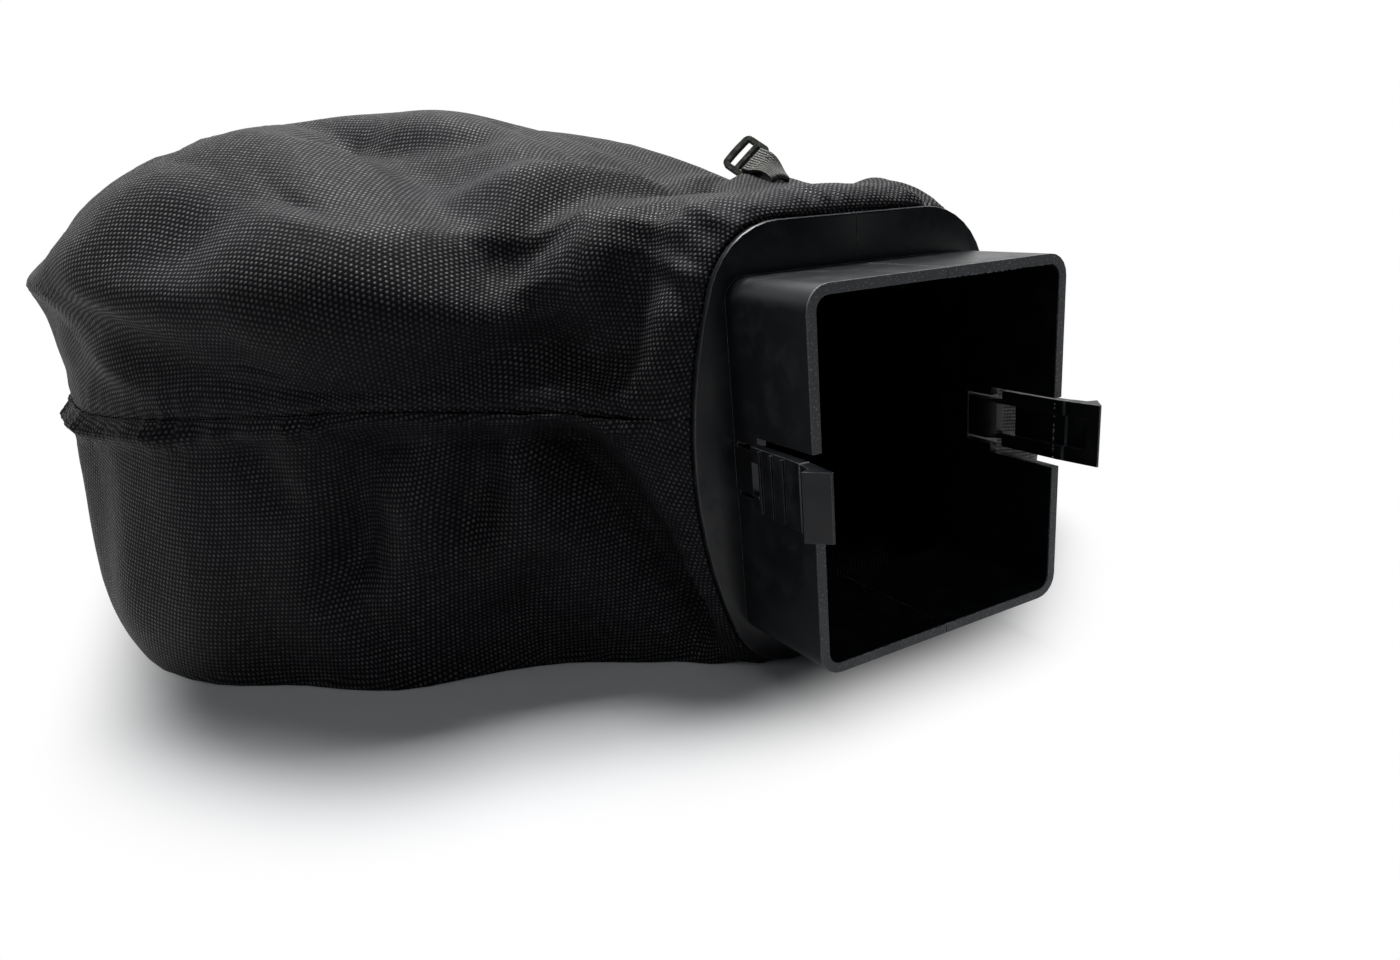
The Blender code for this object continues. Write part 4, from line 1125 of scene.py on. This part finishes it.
@dataclass
class StrapTab:
    """A loop of ribbed webbing on top of the neck, round one bar of a strap slider."""

    form: BagForm
    width: float = 10.0 * MM
    thick: float = 0.9 * MM
    root: tuple[float, float] = (1.2 * MM, 40.5 * MM)
    knee: tuple[float, float] = (2.2 * MM, 48.0 * MM)
    bar: tuple[float, float] = (1.0 * MM, 54.5 * MM)
    root_lift: float = 1.7 * MM
    knee_lift: float = 3.2 * MM
    bar_lift: float = 2.9 * MM
    root_width: float = 0.72
    root_apart: float = 0.75 * MM
    cup: float = 1.1 * MM
    bar_apart: float = 2.05 * MM
    along: tuple[float, float, float] = (-0.317, 0.780, 0.537)
    across: tuple[float, float, float] = (0.751, -0.173, 0.633)
    leg_steps: int = 26
    turn_steps: int = 10
    lines: int = 12
    lock_width: float = 14.4 * MM
    lock_thick: float = 2.0 * MM
    lock_bars: tuple[float, float, float] = (2.0 * MM, 1.9 * MM, 2.0 * MM)
    lock_slots: tuple[float, float] = (2.5 * MM, 2.9 * MM)
    lock_corner: float = 2.4 * MM
    lock_bow: float = 0.5 * MM
    lock_round: float = 0.7 * MM
    tack_places: tuple[float, float] = (0.70, 0.76)
    section_points: int = 280

    def over(self, place: tuple[float, float], lift: float) -> np.ndarray:
        """A place above the cloth.

        Args:
            place: x and the distance behind the flange.
            lift: how far above the cloth.

        Returns:
            x, y and z.
        """
        section = self.form.section(Side.UPPER, place[1], self.section_points)
        height = np.interp(place[0], section[:, 0], section[:, 1])
        return np.array((place[0], FLANGE_BACK + place[1], height + lift))

    def directions(self) -> tuple[np.ndarray, np.ndarray, np.ndarray]:
        """The lock's directions: along the strap, across it and out of its face."""
        along = np.array(self.along) / np.linalg.norm(self.along)
        across = np.array(self.across)
        across = across - along * (across @ along)
        across /= np.linalg.norm(across)
        return along, across, np.cross(across, along)

    def rows(self) -> np.ndarray:
        """The webbing's middle surface, once round its loop.

        Returns:
            Rows along the strap, columns across it and x, y, z.
        """
        along, across, out = self.directions()
        root, knee, bar = (self.over(*spot) for spot in (
            (self.root, self.root_lift), (self.knee, self.knee_lift), (self.bar, self.bar_lift)))
        flat, up = np.array((1.0, 0.0, 0.0)), np.array((0.0, 0.0, 1.0))
        spread = np.linspace(-1, 1, self.lines + 1)[:, None]
        upper, lower = [], []
        for share in np.linspace(0, 1, self.leg_steps + 1):
            middle = root * (1 - share) ** 2 + knee * 2 * share * (1 - share) + bar * share ** 2
            turned = flat + (across - flat) * smooth(share)
            turned /= np.linalg.norm(turned)
            normal = up + (out - up) * smooth(share)
            normal -= turned * (normal @ turned)
            normal /= np.linalg.norm(normal)
            apart = self.root_apart + (self.bar_apart - self.root_apart) * smooth(share)
            wide = self.width / 2 * (self.root_width + (1 - self.root_width) * smooth(share * 1.3))
            drop = self.cup * (1 - smooth(share * 1.4)) * spread ** 2
            line = middle + turned * spread * wide - normal * drop
            upper.append(line + normal * apart)
            lower.append(line - normal * apart)
        turns = np.linspace(0, math.pi, self.turn_steps + 1)[1:-1]
        bar_line = bar + across * spread * self.width / 2
        round_bar = [bar_line + (along * math.sin(angle) + out * math.cos(angle)) * self.bar_apart
                     for angle in turns]
        middle = (upper[0] + lower[0]) / 2
        half = (lower[0] - upper[0]) / 2
        back = middle - (upper[1] + lower[1]) / 2
        back *= (np.linalg.norm(half, axis=1, keepdims=True)
                 / np.linalg.norm(back, axis=1, keepdims=True))
        round_root = [middle + half * math.cos(angle) + back * math.sin(angle) for angle in turns]
        return np.array([*upper, *round_bar, *lower[::-1], *round_root, upper[0]])

    def webbing(self, rows: np.ndarray) -> bpy.types.Object:
        """Builds the webbing from its middle surface."""
        steps = np.linalg.norm(np.diff(rows[:, self.lines // 2], axis=0), axis=1)
        run = np.concatenate([[0.0], np.cumsum(steps)])
        wide = np.linspace(0, self.width, self.lines + 1)
        flat = np.stack(np.meshgrid(wide, run), axis=-1)
        body = bmesh.new()
        body.from_mesh(grid_mesh("webbing_form", rows, flat))
        bmesh.ops.remove_doubles(body, verts=body.verts, dist=0.001 * MM)
        piece = placed(meshed("webbing_loop", body, smooth=True), RibbedWebbing().material())
        thick = piece.modifiers.new("weave", "SOLIDIFY")
        thick.thickness = self.thick
        thick.offset = 0.0
        edges = piece.modifiers.new("selvedge", "BEVEL")
        edges.width = self.thick * 0.3
        edges.segments = 2
        edges.angle_limit = math.radians(50)
        return piece

    def lock(self) -> bpy.types.Object:
        """Builds the strap slider: a rounded plate with two slots, its outer bar slightly bowed."""
        first, middle, last = self.lock_bars
        slots = self.lock_slots
        edges = np.cumsum([-first / 2, first, slots[0], middle, slots[1], last])
        half = self.lock_width / 2
        inner = half - first
        lines = np.concatenate([[-half], np.linspace(-inner, inner, 9), [half]])
        body = bmesh.new()
        bmesh.ops.create_grid(body, x_segments=len(lines) - 1, y_segments=len(edges) - 1, size=0.5)
        body.verts.ensure_lookup_table()
        for vertex in body.verts:
            row, column = divmod(vertex.index, len(lines))
            bow = self.lock_bow * (1 - (lines[column] / half) ** 2) * (row >= 4) * (row - 3) / 2
            vertex.co = (lines[column], edges[row] + bow, 0.0)
        middles = [(face, face.calc_center_median()) for face in body.faces]
        holes = [face for face, spot in middles if abs(spot.x) < inner
                 and any(edges[row] < spot.y < edges[row + 1] for row in (1, 3))]
        bmesh.ops.delete(body, geom=holes, context="FACES")
        corners = [v for v in body.verts if abs(v.co.x) > half * 0.99
                   and (v.co.y < edges[0] + 0.01 * MM or v.co.y > edges[-1] - 0.01 * MM)]
        bmesh.ops.bevel(body, geom=corners, offset=self.lock_corner, segments=5, profile=0.5,
                        affect="VERTICES", material=-1)
        top = bmesh.ops.extrude_face_region(body, geom=body.faces[:])
        raised = [part for part in top["geom"] if isinstance(part, bmesh.types.BMVert)]
        bmesh.ops.translate(body, vec=(0, 0, self.lock_thick), verts=raised)
        bmesh.ops.recalc_face_normals(body, faces=body.faces)
        along, across, out = (Vector(direction) for direction in self.directions())
        pose = Matrix((across, along, out)).transposed().to_4x4()
        pose.translation = Vector(self.over(self.bar, self.bar_lift)) - out * self.lock_thick / 2
        bmesh.ops.transform(body, matrix=pose, verts=body.verts)
        piece = placed(meshed("strap_slider", body, smooth=True), LOCK_MOULDING.material())
        soft = piece.modifiers.new("edges", "BEVEL")
        soft.width = self.lock_round
        soft.segments = 3
        soft.limit_method = "ANGLE"
        soft.angle_limit = math.radians(50)
        soft.harden_normals = True
        return piece

    def tack(self, rows: np.ndarray) -> bpy.types.Object:
        """Builds the two pale rows of stitches that close the loop below the lock.

        Args:
            rows: the webbing's middle surface.

        Returns:
            The stitches' object.
        """
        stitch = SeamStitches(pitch=1.3 * MM, size=(0.62 * MM, 0.2 * MM, 0.16 * MM))
        body = bmesh.new()
        for share in self.tack_places:
            row = int(self.leg_steps * share)
            line = rows[row]
            out = np.cross(rows[row + 1] - line, np.gradient(line, axis=0))
            out /= -np.linalg.norm(out, axis=1, keepdims=True)
            stitch.sew(body, line + out * self.thick / 2, out)
        return placed(meshed("webbing_tack", body, smooth=True), TACK_THREAD.material())

    def build(self) -> list[bpy.types.Object]:
        """Builds the webbing, its stitches and the lock, in place of the solids.

        Returns:
            The pieces.
        """
        rows = self.rows()
        webbing, lock, tack = self.webbing(rows), self.lock(), self.tack(rows)
        for piece, slot in ((webbing, "ribbed_webbing"), (lock, "lock_moulding"),
                            (tack, "ribbed_webbing")):
            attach(piece, "root")
        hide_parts("webbing_tab")
        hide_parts("ladder_lock")
        return [webbing, lock, tack]


@dataclass(frozen=True)
class PaperFloor:
    """White seamless paper: it keeps the soft shadow near the object and runs out into white."""

    paper: str = "f4f4f6"
    bounce: str = "404040"
    centre: tuple[float, float, float] = (-0.045, 0.0, 0.0)
    footprint: tuple[float, float, float] = (0.05, 0.15, 1.0)
    shadow_reach: float = 0.11
    white_from: float = 0.165

    def material(self) -> bpy.types.Material:
        """The floor's material; light that bounces off it is dimmer than the paper looks."""
        nodes = Surface("seamless_paper")
        fleck = nodes.add("TexNoise", {}, nodes.here, 1 / (2.0 * MM))
        rough = nodes.add("MapRange", {}, fleck, 0.0, 1.0, 0.85, 0.95)
        seen = nodes.add("BsdfPrincipled", {}, linear(self.paper), Roughness=rough,
                         Specular_IOR_Level=0.1)
        lit = nodes.add("BsdfDiffuse", {}, linear(self.bounce))
        white = nodes.add("Emission", {}, (1.0, 1.0, 1.0, 1.0), 1.0)
        path = nodes.add("LightPath", {})
        gloss = nodes.add("Math", "MAXIMUM", path.outputs["Is Glossy Ray"],
                          path.outputs["Is Transmission Ray"])
        shown = nodes.add("Math", "MAXIMUM", path.outputs["Is Camera Ray"], gloss)
        moved = nodes.add("VectorMath", "SUBTRACT", nodes.here, self.centre)
        spot = nodes.add("VectorMath", "ABSOLUTE", moved)
        past = nodes.add("VectorMath", "SUBTRACT", spot, self.footprint)
        away = nodes.add("VectorMath", "LENGTH", nodes.add("VectorMath", "MAXIMUM", past))
        far = nodes.add("MapRange", SMOOTH, away, self.shadow_reach, self.white_from)
        paper = nodes.add("MixShader", {}, far, seen, white)
        nodes.add("OutputMaterial", {}, nodes.add("MixShader", {}, shown, lit, paper))
        return nodes.material


@dataclass(frozen=True)
class Softbox:
    """A square soft light that faces a point, its size in metres and its power in watts."""

    name: str
    place: tuple[float, float, float]
    aim: tuple[float, float, float]
    size: float
    power: float

    def hang(self) -> None:
        """Hangs the light in the scene."""
        lamp = bpy.data.lights.new(self.name, "AREA")
        lamp.shape = "SQUARE"
        lamp.size = self.size
        lamp.energy = self.power
        light = bpy.data.objects.new(self.name, lamp)
        light.location = self.place
        sight = Vector(self.aim) - Vector(self.place)
        light.rotation_euler = sight.to_track_quat("-Z", "Y").to_euler()
        bpy.context.scene.collection.objects.link(light)


@dataclass
class Studio:
    """The floor, the soft lights and the camera."""

    floor_size: float = 9.0
    camera_place: tuple[float, float, float] = (-0.1751, -0.4773, 0.1446)
    azimuth: float = -27.27
    elevation: float = 16.78
    roll: float = -4.72
    lens: float = 22.457
    fill: float = 0.045
    fill_tint: tuple[float, float, float] = (0.72, 0.88, 1.0)
    floor_drop: float = 0.3 * MM
    softboxes: tuple[Softbox, ...] = (
        Softbox("top_softbox", (0.08, 0.32, 1.6), (-0.05, -0.1, 0.1), 0.65, 34.0),
        Softbox("front_softbox", (-0.2, -1.3, 1.5), (0.0, -0.25, 0.1), 0.6, 2.0),
        Softbox("left_softbox", (-1.5, 0.15, 0.75), (-0.1, -0.1, 0.1), 0.6, 0.9),
    )

    def floor(self) -> None:
        """Lays the floor."""
        body = bmesh.new()
        bmesh.ops.create_grid(body, x_segments=1, y_segments=1, size=self.floor_size / 2)
        bmesh.ops.translate(body, vec=(0, 0, -self.floor_drop), verts=body.verts)
        placed(meshed("floor", body, smooth=False), PaperFloor().material())

    def world(self) -> None:
        """A dim room with a white backdrop, for the camera and for gloss that looks behind."""
        world = bpy.data.worlds.new("room")
        world.use_nodes = True
        bpy.context.scene.world = world
        nodes = Nodes(world.node_tree)
        path = nodes.add("LightPath", {})
        shiny = nodes.add("Math", "MAXIMUM", path.outputs["Is Glossy Ray"],
                          path.outputs["Is Transmission Ray"])
        sight = nodes.add("SeparateXYZ", {}, nodes.place.outputs["Generated"])
        behind = nodes.add("MapRange", {}, sight.outputs["Y"], 0.3, 0.6)
        backdrop = nodes.add("Math", "MULTIPLY", shiny, behind)
        shown = nodes.add("Math", "MAXIMUM", path.outputs["Is Camera Ray"], backdrop)
        dim = (*(self.fill * part for part in self.fill_tint), 1.0)
        colour = nodes.add("Mix", COLOURS, shown, dim, (1.0, 1.0, 1.0, 1.0))
        room = nodes.add("Background", {}, colour)
        nodes.add("OutputWorld", {}, room)

    def camera(self) -> None:
        """Sets the camera at the photographed angle."""
        data = bpy.data.cameras.new("camera")
        data.lens = self.lens
        data.sensor_width = 36.0
        data.clip_start = 0.01
        camera = bpy.data.objects.new("camera", data)
        bpy.context.scene.collection.objects.link(camera)
        turn, rise, tilt = (math.radians(a) for a in (self.azimuth, self.elevation, self.roll))
        level_share = math.cos(rise)
        back = Vector((math.sin(turn) * level_share, -math.cos(turn) * level_share, math.sin(rise)))
        level = (-back).cross(Vector((0, 0, 1))).normalized()
        above = level.cross(-back)
        right = level * math.cos(tilt) + above * math.sin(tilt)
        up = above * math.cos(tilt) - level * math.sin(tilt)
        pose = Matrix((right, up, back)).transposed().to_4x4()
        pose.translation = Vector(self.camera_place)
        camera.matrix_world = pose
        bpy.context.scene.camera = camera

    def build(self) -> None:
        """Sets up the whole studio."""
        self.floor()
        self.world()
        self.camera()
        for softbox in self.softboxes:
            softbox.hang()
        bpy.context.scene.view_settings.view_transform = "Standard"


def main() -> None:
    """Builds every part of the scene in order."""
    logging.basicConfig(level=logging.INFO, format="%(message)s")
    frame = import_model()
    Studio().build()
    log.info("studio is set")
    form = BagForm()
    for piece in (*ClothBag(form).build(), *Collar().build(frame), *StrapTab(form).build()):
        log.info("%s has %d faces", piece.name, len(piece.data.polygons))


if __name__ == "__main__":
    main()
